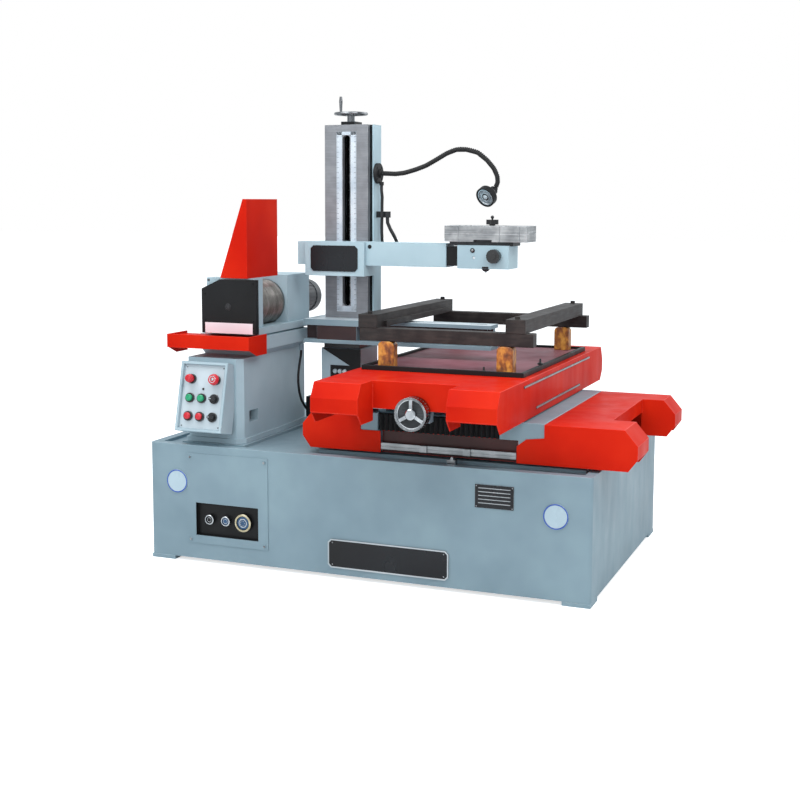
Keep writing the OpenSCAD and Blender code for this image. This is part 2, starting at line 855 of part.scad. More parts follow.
// the pedestal, the column and the lower arm
module arm_pedestal() color("#A3B6BF") on_base() difference() {
  translate([pedestal_x, pedestal_y, base_h]) union() {
    difference() {
      cube([pedestal_w, pedestal_dep, pedestal_h]);
      translate([pedestal_wall, pedestal_wall, -over]) cube([pedestal_w - 2 * pedestal_wall,
        pedestal_dep - 2 * pedestal_wall, pedestal_h - pedestal_wall + over]);
      translate([ped_panel_x, -over, ped_panel_z]) cube([ped_panel_w, over + plate_t, ped_panel_h]);
    }
    for (x = [ped_panel_w / 4, ped_panel_w / 2, 3 * ped_panel_w / 4])
      rod_y([ped_panel_x + x, -plate_t, ped_panel_z + ped_panel_h / 2], ped_socket_d * 0.8, 3 * plate_t);
  }
  rod_x([pedestal_x - over, x_screw_y, base_h + x_screw_z], screw_d + 2 * fit, pedestal_w + 2 * over);
}
module arm_insulator() color("#26282B") on_base()
  translate([pedestal_x + insulator_in, pedestal_y + insulator_in, base_h + pedestal_h])
    cube([pedestal_w - 2 * insulator_in, pedestal_dep - 2 * insulator_in, insulator_h]);
module lower_arm() color("#9FB1BA") on_base() difference() {
  low = foot_z - lower_arm_h;
  mid = lower_arm_y + lower_arm_dep / 2;
  tip = column_x + lower_arm_reach;
  pulley_x = wire_x - pulley_d / 2;
  union() {
    block([foot_x, lower_arm_y, low], [tip, lower_arm_y + lower_arm_dep, low + flange_t]);
    block([foot_x, lower_arm_y, foot_z - flange_t], [tip, lower_arm_y + lower_arm_dep, foot_z]);
    block([foot_x, mid - web_t / 2, low + flange_t - over],
      [tip, mid + web_t / 2, foot_z - flange_t + over]);
    block([foot_x, lower_arm_y, foot_z - foot_t],
      [foot_x + foot_w, pedestal_y + pedestal_dep, foot_z]);
    block([pedestal_x, lower_arm_y + over, low],
      [pedestal_x + pedestal_w, pedestal_y + pedestal_dep, foot_z - foot_t + over]);
    for (side = [-1, 1])
      block([pulley_x - pulley_d * 0.7, mid + side * (pulley_t - flange_t / 8) - flange_t / 4, low + over],
        [pulley_x + pulley_d * 0.7, mid + side * (pulley_t - flange_t / 8) + flange_t / 4, foot_z - over]);
  }
  block([pulley_x - pulley_d * 0.6, mid - pulley_t / 2 - play, low + flange_t],
    [pulley_x + pulley_d * 0.6, mid + pulley_t / 2 + play, foot_z + over]);
  rod_y([pulley_x, mid - lower_arm_dep, lower_pulley_z], pin_d + 2 * fit, 2 * lower_arm_dep);
}
module grooved_wheel() rotate_extrude() polygon([
  [0, 0], [pulley_d / 2, 0], [pulley_d / 2 - pulley_groove, pulley_t / 2],
  [pulley_d / 2, pulley_t], [0, pulley_t]
]);
module pulley_on_pin(z, mid, pin_len)
  on_base() translate([wire_x - pulley_d / 2, mid, z]) rotate([-90, 0, 0]) {
    translate([0, 0, -pulley_t / 2]) grooved_wheel();
    translate([0, 0, -pin_len / 2]) cylinder(d = pin_d, h = pin_len);
  }
module lower_pulley() color("#C9CDD0")
  pulley_on_pin(lower_pulley_z, lower_arm_y + lower_arm_dep / 2, 3 * pulley_t);
module column_body() color("#A9BEC8") on_base() difference() {
  union() {
    block([column_left, body_y, foot_z], [column_left + column_w, body_y + column_dep, foot_z + column_h]);
    block([column_x - wheel_hub_d, screw_y - wheel_hub_d, foot_z + column_h],
      [column_x + wheel_hub_d, body_y + column_dep - cap_in, foot_z + column_h + cap_t]);
    rod_x([column_left + column_w, cable_points[12][1], cable_points[12][2]], gland_d,
      cable_points[12][0] - column_left - column_w);
    rod_x([column_left + column_w, hose_points[9][1], hose_points[9][2]], gland_d,
      hose_points[9][0] - column_left - column_w);
  }
  block([column_x - channel_w / 2, body_y - over, foot_z + channel_z],
    [column_x + channel_w / 2, body_y + channel_dep, foot_z + column_h - channel_z]);
  block([column_left + guide_w, body_y - over, foot_z - over],
    [column_left + guide_w + groove_w, body_y + groove_dep, foot_z + column_h + over]);
  rod_z([column_x, screw_y, foot_z + channel_z / 2], column_screw_d + 2 * fit, column_h + cap_t);
}
module guide_plate() color("#8A8C93") on_base() difference() {
  block([column_left, guide_y, foot_z], [column_left + guide_w, body_y, foot_z + column_h]);
  slot_cut(guide_t);
  block([column_x - wheel_hub_d - over, guide_y + guide_t / 2, foot_z + column_h],
    [column_x + wheel_hub_d + over, body_y + over, foot_z + column_h + cap_t]);
}
module slot_cut(t) {
  for (z = [foot_z + slot_z + slot_w / 2, foot_z + slot_z + slot_len - slot_w / 2])
    rod_y([column_x, guide_y - over, z], slot_w, t + 2 * over);
  block([column_x - slot_w / 2, guide_y - over, foot_z + slot_z + slot_w / 2],
    [column_x + slot_w / 2, guide_y + t + over, foot_z + slot_z + slot_len - slot_w / 2]);
}
// two pale strips beside the slot, each with plain graduation lines cut in
module scale_strips() color("#D3DDE6") on_base()
  for (side = [-1, 1]) difference() {
    near = column_x + side * (slot_w / 2 + over);
    far = column_x + side * scale_w / 2;
    block([min(near, far), guide_y - scale_t, foot_z + scale_z],
      [max(near, far), guide_y, foot_z + scale_z + scale_len]);
    for (i = [1:scale_lines])
      translate([near + side * scale_t - (side < 0 ? scale_line_w : 0), guide_y - scale_t - over,
        foot_z + scale_z + scale_len * i / (scale_lines + 1)])
        cube([scale_line_w, over + scale_t / 2, scale_line_h]);
  }
module column_screw() color("#C4C8CC") on_base() {
  top = foot_z + column_h + cap_t + gap;
  translate([column_x, screw_y, 0]) union() {
    translate([0, 0, foot_z + channel_z / 2 + play])
      cylinder(d = column_screw_d, h = top - foot_z - channel_z / 2 + wheel_hub_h);
    translate([0, 0, top]) cylinder(d = wheel_hub_d, h = wheel_hub_h + wheel_rim_d);
    translate([0, 0, top + wheel_z]) rotate_extrude()
      translate([column_wheel_d / 2 - wheel_rim_d / 2, 0]) circle(d = wheel_rim_d);
    for (a = [0:120:240]) rotate([0, 0, a + 14]) rod_x([0, 0, top + wheel_z - over], spoke_d,
      column_wheel_d / 2 - wheel_rim_d / 2);
    rotate([0, 0, crank_turn]) translate([column_wheel_d / 2 - wheel_rim_d / 2, 0, top + wheel_z])
      cylinder(d = crank_d, h = crank_h + wheel_rim_d / 2);
  }
}
module crank_handle() color("#1E2023") on_base()
  translate([column_x, screw_y, foot_z + column_h + cap_t + gap + wheel_z]) rotate([0, 0, crank_turn])
    translate([column_wheel_d / 2 - wheel_rim_d / 2, 0, wheel_rim_d / 2 + play]) difference() {
      rotate_extrude() polygon([
        [0, 0], [crank_grip_d / 2 - over, 0], [crank_grip_d / 2, crank_h * 0.7],
        [crank_grip_d / 2 - over, crank_h + over], [0, crank_h + over]
      ]);
      translate([0, 0, -over]) cylinder(d = crank_d + 2 * fit, h = crank_h + over);
    }

// the upper arm and its head
arm_low = foot_z + arm_z;
arm_back = guide_y - scale_t - gap;
module upper_arm() color("#A5B6BD") on_base() difference() {
  union() {
    block([column_x - arm_stub, arm_y, arm_low], [column_x + arm_reach, arm_y + arm_dep, arm_low + arm_h]);
    block([column_x - saddle_left, arm_y - saddle_front, arm_low - saddle_drop],
      [column_x + saddle_right, arm_back, arm_low + arm_h - over / 2]);
    block([column_x - saddle_left, arm_back - over, arm_low - saddle_drop],
      [column_left - play, guide_y + cheek_dep, arm_low + arm_h - over / 2]);
    block([column_left + column_w + play, arm_back - over, arm_low - saddle_drop],
      [column_x + saddle_right, guide_y + cheek_right_dep, arm_low + arm_h - over / 2]);
    block([column_x - slot_w / 2 + play, arm_back - over, arm_low],
      [column_x + slot_w / 2 - play, screw_y - nut_dep / 4, arm_low + nut_h]);
    block([column_x - nut_w / 2, screw_y - nut_dep / 2, arm_low],
      [column_x + nut_w / 2, screw_y + nut_dep / 2, arm_low + nut_h]);
  }
  rod_z([column_x, screw_y, arm_low - over], column_screw_d + 2 * fit, nut_h + 2 * over);
}
module arm_plate() color("#15171A") on_base()
  translate([column_x - arm_plate_w * plate_x_share - over, 0, arm_low - saddle_drop + plate_in - over])
    along_y(arm_y - saddle_front - plate_t, plate_t) clipped_rect(arm_plate_w, arm_plate_h, name_clip);
module head_box() color("#A9B7BC") on_base() difference() {
  low = arm_low - head_drop;
  mid = arm_y + arm_dep / 2;
  union() {
    block([head_x, head_y, low], [head_x + head_len, head_y + head_dep, head_top]);
    block([head_x - spacer_len, arm_y + spacer_in, arm_low + spacer_in],
      [head_x + over, arm_y + arm_dep - spacer_in, head_top - spacer_in]);
    block([head_x + slide_bed_in - slide_back, head_y + slide_bed_in, head_top - over],
      [head_x + head_len + slide_bed_in, head_y + head_dep - slide_bed_in, head_top + head_rise - gap]);
    block([head_x + head_len / 2 - dovetail_w / 2, head_y + slide_bed_in, head_top],
      [head_x + head_len / 2 + dovetail_w / 2, head_y + head_dep - slide_bed_in,
        head_top + head_rise + slide_h / 4 - gap]);
  }
  block([head_x + head_wall, head_y + head_wall, low - over],
    [head_x + head_len - head_wall, head_y + head_dep - head_wall, head_top - head_wall]);
  rod_y([wire_x - pulley_d / 2, head_y - over, upper_pulley_z], pin_d + 2 * fit, head_dep + 2 * over);
  rod_y([head_x + head_len * head_knob_share, head_y - over, head_top - head_knob_drop],
    pin_d + 2 * fit, head_wall + 2 * over);
}
module upper_pulley() color("#C9CDD0")
  pulley_on_pin(upper_pulley_z, head_y + head_dep / 2, head_dep - over);
module knurled(d, h) difference() {
  cylinder(d = d, h = h);
  for (i = [1:knurl_count]) rotate([0, 0, 360 * i / knurl_count]) translate([d / 2 + knurl_d / 4, 0, -over])
    cylinder(d = knurl_d, h = h + 2 * over);
}
module head_knob() color("#2A2C30") on_base()
  translate([head_x + head_len * head_knob_share, head_y - gap, head_top - head_knob_drop])
  rotate([90, 0, 0]) {
    knurled(head_knob_d, head_knob_len);
    translate([0, 0, head_knob_len - over]) cylinder(d = head_knob_d / 2, h = over + plate_t);
    translate([0, 0, -head_wall - plate_t]) cylinder(d = pin_d, h = head_wall + plate_t + over);
  }
module slide_plate(low) difference() {
  block([head_x - slide_back, slide_y, low],
    [head_x - slide_back + slide_len, slide_y + slide_dep, low + slide_h - gap]);
  for (share = seam_shares)
    block([head_x - slide_back + slide_len * share, slide_y - over, low - over],
      [head_x - slide_back + slide_len * share + seam_w, slide_y + seam_d, low + slide_h]);
}
module v_slide() color("#8E9496") on_base() difference() {
  union() {
    slide_plate(slide_z);
    block([head_x - slide_back, slide_y + slide_dep / 2 - dovetail_w / 2, slide_z + over],
      [head_x - slide_back + slide_len, slide_y + slide_dep / 2 + dovetail_w / 2,
        slide_z + slide_h + slide_h / 4 - gap]);
  }
  block([head_x + head_len / 2 - dovetail_w / 2 - play, slide_y - over, slide_z - over],
    [head_x + head_len / 2 + dovetail_w / 2 + play, slide_y + slide_dep + over, slide_z + slide_h / 4]);
}
module u_slide() color("#9AA09F") on_base() difference() {
  slide_plate(slide_z + slide_h);
  block([head_x - slide_back - over, slide_y + slide_dep / 2 - dovetail_w / 2 - play,
      slide_z + slide_h - over],
    [head_x - slide_back + slide_len + over, slide_y + slide_dep / 2 + dovetail_w / 2 + play,
      slide_z + slide_h + slide_h / 4]);
}
module guide_knob() color("#3A3C3E") on_base()
  translate([head_x - slide_back + slide_len * guide_knob_share, slide_y + slide_dep / 2,
    slide_z + 2 * slide_h]) {
    cylinder(d = guide_knob_d / 2, h = guide_stem_h + over);
    translate([0, 0, guide_stem_h]) knurled(guide_knob_d, guide_knob_h);
    translate([0, 0, guide_stem_h + guide_knob_h - over]) cylinder(d = ball_stem_d, h = ball_stem_h + over);
    translate([0, 0, guide_stem_h + guide_knob_h + ball_stem_h]) sphere(d = ball_d);
  }

// the lamp and the cords
module gooseneck() color("#1B1C1E") on_base() {
  side_x = column_left + column_w;
  rod_x([side_x, lamp_y, lamp_z], lamp_disc_d, lamp_disc_t);
  rod_x([side_x + lamp_disc_t, lamp_y, lamp_z], lamp_boss_d, lamp_boss_h);
  translate([side_x + lamp_disc_t + gland_d / 2 - over / 2, cable_points[0][1], cable_points[0][2]])
    cylinder(d = gland_d, h = gland_h);
  cord(neck_points, neck_d, [0, 1, 0]);
}
module lamp_head() color("#232427") on_base() translate(lamp_at) rotate([0, lamp_tilt, lamp_yaw]) {
  back = lamp_ball_d / 2 - over;
  sphere(d = lamp_ball_d);
  rotate_extrude() polygon([
    [0, back], [lamp_back_d / 2, back], [lamp_back_d / 2, back + lamp_len * 0.2],
    [lamp_d / 2, back + lamp_len * lamp_bell], [lamp_d / 2, lamp_len],
    [lamp_d / 2 - lamp_rim, lamp_len], [lamp_d / 2 - lamp_rim, lamp_len - lens_in], [0, lamp_len - lens_in]
  ]);
}
module lamp_cable() color("#1B1C1E") on_base() {
  cord(cable_points, cable_d, [0, 1, 0]);
  cord(hose_points, hose_d, [0, 1, 0]);
  difference() {
    union() {
      rod_z([cable_points[5][0], lamp_y, clamp_z], clamp_d, clamp_h);
      rod_z([hose_points[0][0], lamp_y, clamp_z], clamp_d, clamp_h);
      block([column_left + column_w, lamp_y - clamp_d / 4, clamp_z],
        [hose_points[0][0], lamp_y + clamp_d / 4, clamp_z + clamp_h]);
    }
    rod_z([cable_points[5][0], lamp_y, clamp_z - over], cable_d + 2 * gap, clamp_h + 2 * over);
  }
}
module tower_cable() color("#17181A") on_base() cord(tower_cable_points, tower_cable_d, [1, 0, 0]);

// the drum carriage
module drum_carriage() color("#A5B5BC") on_base() difference() {
  top = drum_top_z + gap + carriage_plate_h;
  union() {
    block([gear_x, front_bracket_y, drum_top_z + gap],
      [gear_x + gear_w, rear_bracket_y + rear_bracket_dep + flange_len, top]);
    block([drum_x - bracket_w / 2, front_bracket_y, top - over],
      [drum_x + bracket_w / 2, front_bracket_y + front_bracket_dep, drum_z + bracket_rise]);
    block([drum_x - bracket_w / 2, rear_bracket_y, top - over],
      [drum_x + bracket_w / 2, rear_bracket_y + rear_box_dep, drum_z + bracket_rise]);
  }
  block([drum_x - bracket_w / 2 + housing_wall, rear_bracket_y + rear_bracket_dep, top],
    [drum_x + bracket_w / 2 - housing_wall, rear_bracket_y + rear_box_dep + over,
      drum_z + bracket_rise - housing_wall]);
  rod_y([drum_x, front_bracket_y + front_bracket_dep, drum_z], drum_d + 2 * trough, drum_len + trough);
  rod_y([drum_x, front_bracket_y - over, drum_z], shaft_d + 2 * fit, rear_bracket_y + rear_bracket_dep);
  rod_y([drum_x, rear_bracket_y - over, drum_z], housing_bore, rear_bracket_dep / 2);
}
module gear_cover() color("#26272A") on_base()
  translate([gear_x, gear_y, drum_top_z + gear_z]) union() {
    along_y(0, gear_t) polygon([
      [0, 0], [gear_w, 0], [gear_w, gear_h], [gear_clip_w, gear_h], [0, gear_h - gear_clip_h]
    ]);
    block([(gear_w - gear_label_w) / 2, -gear_label_t, 0],
      [(gear_w + gear_label_w) / 2, 0, gear_label_h]);
  }
module drum_motor() color("#8D979C") on_base()
  translate([drum_x, rear_bracket_y + rear_bracket_dep, drum_z])
  rotate([-90, 0, 0]) union() {
    cylinder(d = flange_d, h = flange_len);
    translate([0, 0, flange_len - over]) cylinder(d = motor_d, h = motor_len + over);
    translate([0, 0, flange_len + motor_len - fan_len]) cylinder(d = fan_d, h = fan_len);
    for (i = [1:motor_fins]) rotate([0, 0, 360 * i / motor_fins])
      translate([motor_d / 2 - fin_d / 2, -fin_d / 4, flange_len])
        cube([fin_d, fin_d / 2, motor_len - fan_len]);
    translate([-motor_box[0] / 2, -motor_d / 2 - motor_box[2] / 2, flange_len + motor_len / 4])
      cube([motor_box[0], motor_box[2], motor_box[1]]);
  }
module splash_hood() color("#DE3A2C") on_base() union() {
  foot = drum_z + bracket_rise;
  side = drum_x + hood_x;
  block([side - hood_t, hood_y, foot], [side, hood_y + hood_dep, foot + hood_h]);
  along_y(hood_y, hood_t) polygon([
    [side - hood_foot, foot], [side - hood_cap_w, foot + hood_h], [side, foot + hood_h], [side, foot]
  ]);
  block([side - hood_cap_w, hood_y, foot + hood_h - hood_t], [side, hood_y + hood_dep, foot + hood_h]);
  block([side - hood_cap, front_bracket_y, foot],
    [side, front_bracket_y + front_bracket_dep, foot + hood_t]);
}
module wire_drum() color("#B9B4AC") on_base() translate([drum_x, drum_y, drum_z]) rotate([-90, 0, 0]) {
  difference() {
    cylinder(d = drum_d, h = drum_len);
    translate([0, 0, hub_t]) cylinder(d = drum_d - 2 * drum_wall, h = drum_len - 2 * hub_t);
  }
  translate([0, 0, front_bracket_y - drum_y + play])
    cylinder(d = shaft_d, h = rear_bracket_y + rear_bracket_dep - front_bracket_y - 2 * play);
}

// the drive along X
module x_ways() color("#8B9298") on_base() difference() {
  union() {
    for (side = [-1, 1])
      block([carriage_pad_x, carriage_y + side * x_way_gap / 2 - way_w / 2, base_h],
        [carriage_pad_x + carriage_pad_len, carriage_y + side * x_way_gap / 2 + way_w / 2,
          base_h + x_way_h]);
    block([x_bearing_x, x_screw_y - x_bearing_w / 2, base_h],
      [x_bearing_x + x_bearing_t, x_screw_y + x_bearing_w / 2, base_h + x_screw_z + screw_d * 0.8]);
  }
  rod_x([x_bearing_x - over, x_screw_y, base_h + x_screw_z], screw_d + 2 * fit, x_bearing_t + 2 * over);
}
module x_motor() color("#1E1F22") on_base() union() {
  block([x_motor_x, x_screw_y - x_motor_w / 2, base_h + x_screw_z - x_motor_w / 2],
    [x_motor_x + x_motor_len, x_screw_y + x_motor_w / 2, base_h + x_screw_z + x_motor_w / 2]);
  block([x_motor_x, x_screw_y - x_motor_w / 3, base_h],
    [x_motor_x + x_motor_len, x_screw_y + x_motor_w / 3, base_h + x_screw_z - x_motor_w / 2 + over]);
}
module x_screw() color("#B4B9BD") on_base()
  rod_x([x_motor_x + x_motor_len + gap, x_screw_y, base_h + x_screw_z], screw_d,
    x_bearing_x + x_bearing_t - x_motor_x - x_motor_len - gap);

// the saddle and its covers
saddle_y = lower_dep / 2 - sheet;
module saddle() color("#A2B3BB") on_table() {
  nut_y = x_screw_y - carriage_y;
  difference() {
    translate([0, 0, saddle_z]) difference() {
      block([saddle_x, -saddle_y, 0], [saddle_x + saddle_len, saddle_y, saddle_h]);
      block([saddle_x + saddle_wall, -(x_way_gap - runner_w) / 2, -over],
        [saddle_x + saddle_len - saddle_wall, (x_way_gap - runner_w) / 2, saddle_h - saddle_top_t]);
      block([saddle_x - over, nut_y - x_bearing_w * 0.65, -over],
        [saddle_x + saddle_len + over, nut_y + x_bearing_w * 0.65, saddle_h - 2 * saddle_top_t + over]);
      block([bellows_x, -saddle_y - over, -over],
        [bellows_x + bellows_len, -saddle_y + pocket_dep, saddle_h + over]);
      block([skirt_x, -saddle_y - over, -over],
        [skirt_x + skirt_len + sheet + play, -saddle_y + pocket_dep, lower_z + skirt_h - x_way_h + play]);
    }
  }
  for (side = [-1, 1])
    block([side * y_way_gap / 2 - way_w / 2, -saddle_y + pocket_dep, saddle_top - over],
      [side * y_way_gap / 2 + way_w / 2, saddle_y, saddle_top + y_way_h]);
  difference() {
    block([-y_bearing_w / 3, -y_bearing_t, saddle_top - over],
      [y_bearing_w / 3, y_bearing_t, y_screw_z + screw_d]);
    rod_y([0, -y_bearing_t - over, y_screw_z], screw_d + 2 * fit, 2 * y_bearing_t + 2 * over);
  }
  difference() {
    block([-y_bearing_t, nut_y - x_bearing_w / 2, base_h + x_screw_z - x_bearing_w / 3],
      [y_bearing_t, nut_y + x_bearing_w / 2, saddle_top - saddle_top_t + over]);
    rod_x([-y_bearing_t - over, nut_y, base_h + x_screw_z], screw_d + 2 * fit, 2 * y_bearing_t + 2 * over);
  }
}
// one end of the lower cover, drawn to the right, with horns round a recess
module end_cover(reach, recess, outline, inner) translate([0, 0, base_h + lower_z]) difference() {
  along_y(-lower_dep / 2, lower_dep) polygon(outline);
  difference() {
    along_y(-saddle_y, 2 * saddle_y) polygon(inner);
    block([reach - recess - sheet, horn_front - lower_dep / 2 - sheet, -2 * over],
      [reach + over, lower_dep / 2 - horn_rear + sheet, lower_h + 2 * over]);
  }
  block([reach - recess, horn_front - lower_dep / 2, -over],
    [reach + over, lower_dep / 2 - horn_rear, lower_h + over]);
  block([reach - recess - sheet - over, horn_front - lower_dep / 2, -over],
    [reach - recess + over, lower_dep / 2 - horn_rear, lower_h - recess_wall_h]);
}
function end_outline(reach) = [
  [reach - end_bevel_low, 0], [reach, end_foot_h], [reach, lower_h - end_bevel_h],
  [reach - end_chamfer, lower_h]
];
function end_inner(reach, start, stop) = [
  [start - over, -over], [reach - sheet, -over], [reach - sheet, lower_h - end_bevel_h],
  [reach - end_chamfer - sheet / 2, lower_h - sheet], [stop, lower_h - sheet],
  [stop, lower_h + over], [start - over, lower_h + over]
];
right_start = skirt_x + skirt_len;
right_stop = saddle_x + saddle_len;
module right_cover() color("#D5322A") on_table() union() {
  end_cover(reach_right, right_recess,
    concat([[right_start, 0]], end_outline(reach_right), [
      [right_stop, lower_h], [right_stop, notch_rise[2]],
      [right_start + notch_run[0], notch_rise[1]], [right_start, notch_rise[0]]
    ]),
    end_inner(reach_right, right_start, right_stop));
  translate([0, 0, base_h + lower_z]) {
    block([skirt_x, skirt_in - lower_dep / 2, 0], [right_start, skirt_in + sheet - lower_dep / 2, skirt_h]);
    block([right_start, -lower_dep / 2, 0],
      [right_start + sheet, skirt_in + sheet - lower_dep / 2, notch_rise[0]]);
  }
}
module left_cover() color("#D5322A") on_table() mirror([1, 0, 0])
  end_cover(reach_left, left_recess,
    concat([[-skirt_x, 0]], end_outline(reach_left), [
      [-saddle_x, lower_h], [-saddle_x, left_notch], [-skirt_x, left_notch]
    ]),
    end_inner(reach_left, -skirt_x, -saddle_x));
module way_bellows() color("#1B1C1D") on_table()
  translate([bellows_x + play, -saddle_y + pocket_dep, base_h + lower_z + skirt_h + play]) {
    pitch = (bellows_len - 2 * play) / pleats;
    linear_extrude(bellows_h) polygon(concat(
      [[0, 0]],
      [for (i = [0:pleats - 1]) each [
        [i * pitch, -pocket_dep * 0.45], [(i + 0.5) * pitch, -pocket_dep * 0.95]
      ]],
      [[pleats * pitch, -pocket_dep * 0.45], [pleats * pitch, 0]]
    ));
  }
module dog_rail() color("#B9C0C4") on_table() {
  low = base_h + lower_z + dog_z;
  face = -lower_dep / 2;
  difference() {
    block([skirt_x + over, face, low], [right_start - over, face + dog_t, low + dog_h]);
    block([skirt_x, face - over, low + dog_h * 0.4], [right_start, face + dog_t / 2, low + dog_h * 0.6]);
  }
  for (share = [0.1, 0.5, 0.9])
    rod_y([skirt_x + skirt_len * share, face + dog_t, low + dog_h / 2], dog_h / 2, skirt_in - dog_t);
  for (share = dog_places_share)
    block([skirt_x + skirt_len * share, face - dog_t, low],
      [skirt_x + skirt_len * share + dog_block_w, face, low + dog_h]);
}

// the table, its cover and its drive
recess_face = table_len / 2 - upper_recess;
boss_end = recess_face + sheet - gap;
table_top = cover_z + cover_h - sheet;
module table() color("#97A5AC") on_table() difference() {
  union() {
    block([-table_plate_w / 2, -table_plate_len / 2, table_top - table_t],
      [table_plate_w / 2, table_plate_len / 2, table_top]);
    for (side = [-1, 1])
      block([side * y_way_gap / 2 - runner_w / 2, -runner_len / 2, saddle_top + y_way_h + gap],
        [side * y_way_gap / 2 + runner_w / 2, runner_len / 2, table_top - table_t + over]);
    for (side = [-1, 1]) {
      block([-y_bearing_w / 2, side * (y_bearing_y - y_bearing_t / 2) - y_bearing_t / 2, cover_z + over],
        [y_bearing_w / 2, side * (y_bearing_y - y_bearing_t / 2) + y_bearing_t / 2, table_top]);
      rod_y([0, side > 0 ? y_bearing_y - over : -boss_end, y_screw_z], boss_d, boss_end - y_bearing_y + over);
    }
  }
  rod_y([0, -boss_end - over, y_screw_z], screw_d + 2 * fit, boss_end + y_bearing_y);
}
module end_recess(grow, reach, low, high) for (side = [-1, 1]) {
  face = recess_face - grow;
  block([-upper_recess_w / 2 - grow, side > 0 ? face : -reach, low],
    [upper_recess_w / 2 + grow, side > 0 ? reach : -face, high]);
}
module upper_cover() color("#DD382A") on_table() translate([0, 0, cover_z]) difference() {
  half = table_len / 2;
  along_x(-table_w / 2, table_w) polygon([
    [cover_foot_y - half, 0], [-half, cover_foot_z], [-half, cover_h - cover_bevel_z],
    [cover_bevel_y - half, cover_h], [half - cover_bevel_y, cover_h],
    [half, cover_h - cover_bevel_z], [half, cover_foot_z], [half - cover_foot_y, 0]
  ]);
  difference() {
    along_x(sheet - table_w / 2, table_w - 2 * sheet) polygon([
      [sheet - half, -over], [sheet - half, cover_h - cover_bevel_z],
      [cover_bevel_y + sheet / 2 - half, cover_h - sheet],
      [half - cover_bevel_y - sheet / 2, cover_h - sheet],
      [half - sheet, cover_h - cover_bevel_z], [half - sheet, -over]
    ]);
    end_recess(sheet, half + over, -2 * over, cover_h + over);
  }
  end_recess(0, half + over, -over, cover_h + over);
  for (side = [-1, 1])
    block([-upper_recess_w / 2, side * recess_face - 2 * sheet, -over],
      [upper_recess_w / 2, side * recess_face + 2 * sheet, cover_foot_z + sheet]);
  rod_y([0, -half, y_screw_z - cover_z], boss_d + 2 * sheet, table_len);
}
module cover_trims() for (side = [-1, 1]) {
  face = side * table_w / 2;
  block([min(face, face + side * trim_t), -trim_len / 2 + trim_y, cover_z + trim_z],
    [max(face, face + side * trim_t), trim_len / 2 + trim_y, cover_z + trim_z + trim_h]);
  block([min(face, face + side * trim_t), -trim_low_len / 2 + trim_y, cover_z + trim_low_z],
    [max(face, face + side * trim_t), trim_low_len / 2 + trim_y, cover_z + trim_low_z + trim_h]);
}
module y_wheel() color("#C6CACD") on_table()
  translate([0, -boss_end - gap, y_screw_z]) rotate([90, 0, 0]) union() {
  difference() {
    cylinder(d = wheel_d, h = wheel_dep);
    translate([0, 0, wheel_dep - wheel_rim]) cylinder(d = wheel_d - 2 * wheel_rim, h = wheel_rim + over);
    for (i = [1:2 * knurl_count]) rotate([0, 0, 180 * i / knurl_count])
      translate([wheel_d / 2 + knurl_d / 4, 0, wheel_dep * wheel_grip_share])
        cylinder(d = knurl_d, h = wheel_dep);
  }
  translate([0, 0, wheel_dep - wheel_rim - over]) cylinder(d = wheel_bore_d, h = wheel_rim);
  translate([0, 0, -boss_end - y_bearing_y + over]) cylinder(d = screw_d, h = boss_end + y_bearing_y);
}
module y_motor() color("#1E1F22") on_table()
  block([-y_motor_w / 2, boss_end, y_screw_z - y_motor_w / 2],
    [y_motor_w / 2, boss_end + y_motor_len, y_screw_z + y_motor_w / 2]);

// the work frame
pan_z = cover_z + cover_h;
pillar_z = pan_z + pan_floor;
bar_z = pillar_z + pillar_h;
module work_tray() color("#B9666B") on_table() {
  difference() {
    block([-pan_w / 2, frame_y - pan_len / 2, pan_z], [pan_w / 2, frame_y + pan_len / 2, pan_z + pan_h]);
    block([pan_rim - pan_w / 2, pan_rim + frame_y - pan_len / 2, pillar_z],
      [pan_w / 2 - pan_rim, frame_y + pan_len / 2 - pan_rim, pan_z + pan_h + over]);
  }
  cover_trims();
}
module pillars() color("#A8672F") on_table()
  for (x = [-pillar_reach, pillar_reach], side = [-1, 1])
    translate([x, frame_y + side * frame_span / 2 + pillar_dep / 2, pillar_z]) rotate([90, 0, 0])
      linear_extrude(pillar_dep) union() {
        translate([-pillar_w / 2, 0]) square([pillar_w, pillar_h - pillar_round]);
        translate([-pillar_w / 2 + pillar_round, 0]) square([pillar_w - 2 * pillar_round, pillar_h]);
        for (s = [-1, 1]) translate([s * (pillar_w / 2 - pillar_round), pillar_h - pillar_round])
          circle(pillar_round);
      }
module support_bars() color("#34332F") on_table()
  for (side = [-1, 1])
    block([-support_len / 2, frame_y + side * frame_span / 2 - pillar_dep / 2, bar_z],
      [support_len / 2, frame_y + side * frame_span / 2 + pillar_dep / 2, bar_z + bar_h]);
module work_bars() color("#3A3835") on_table() {
  top = bar_z + 2 * bar_h;
  for (x = [-work_left, work_right]) {
    block([x, frame_y - work_len / 2, bar_z + bar_h], [x + bar_w, frame_y + work_len / 2, top]);
    for (side = [-1, 1])
      rod_z([x + bar_w / 2, frame_y + side * frame_span / 2, top], bolt_d, bolt_h);
  }
  block([bar_w - work_left, frame_y - frame_span / 2 + pillar_dep, bar_z + bar_h],
    [bar_w + ledge_w - work_left, frame_y + frame_span / 2 - pillar_dep, bar_z + bar_h + ledge_h]);
  block([work_right - ledge_w, frame_y - frame_span / 2 + pillar_dep, bar_z + bar_h],
    [work_right, frame_y + frame_span / 2 - pillar_dep, bar_z + bar_h + ledge_h]);
}

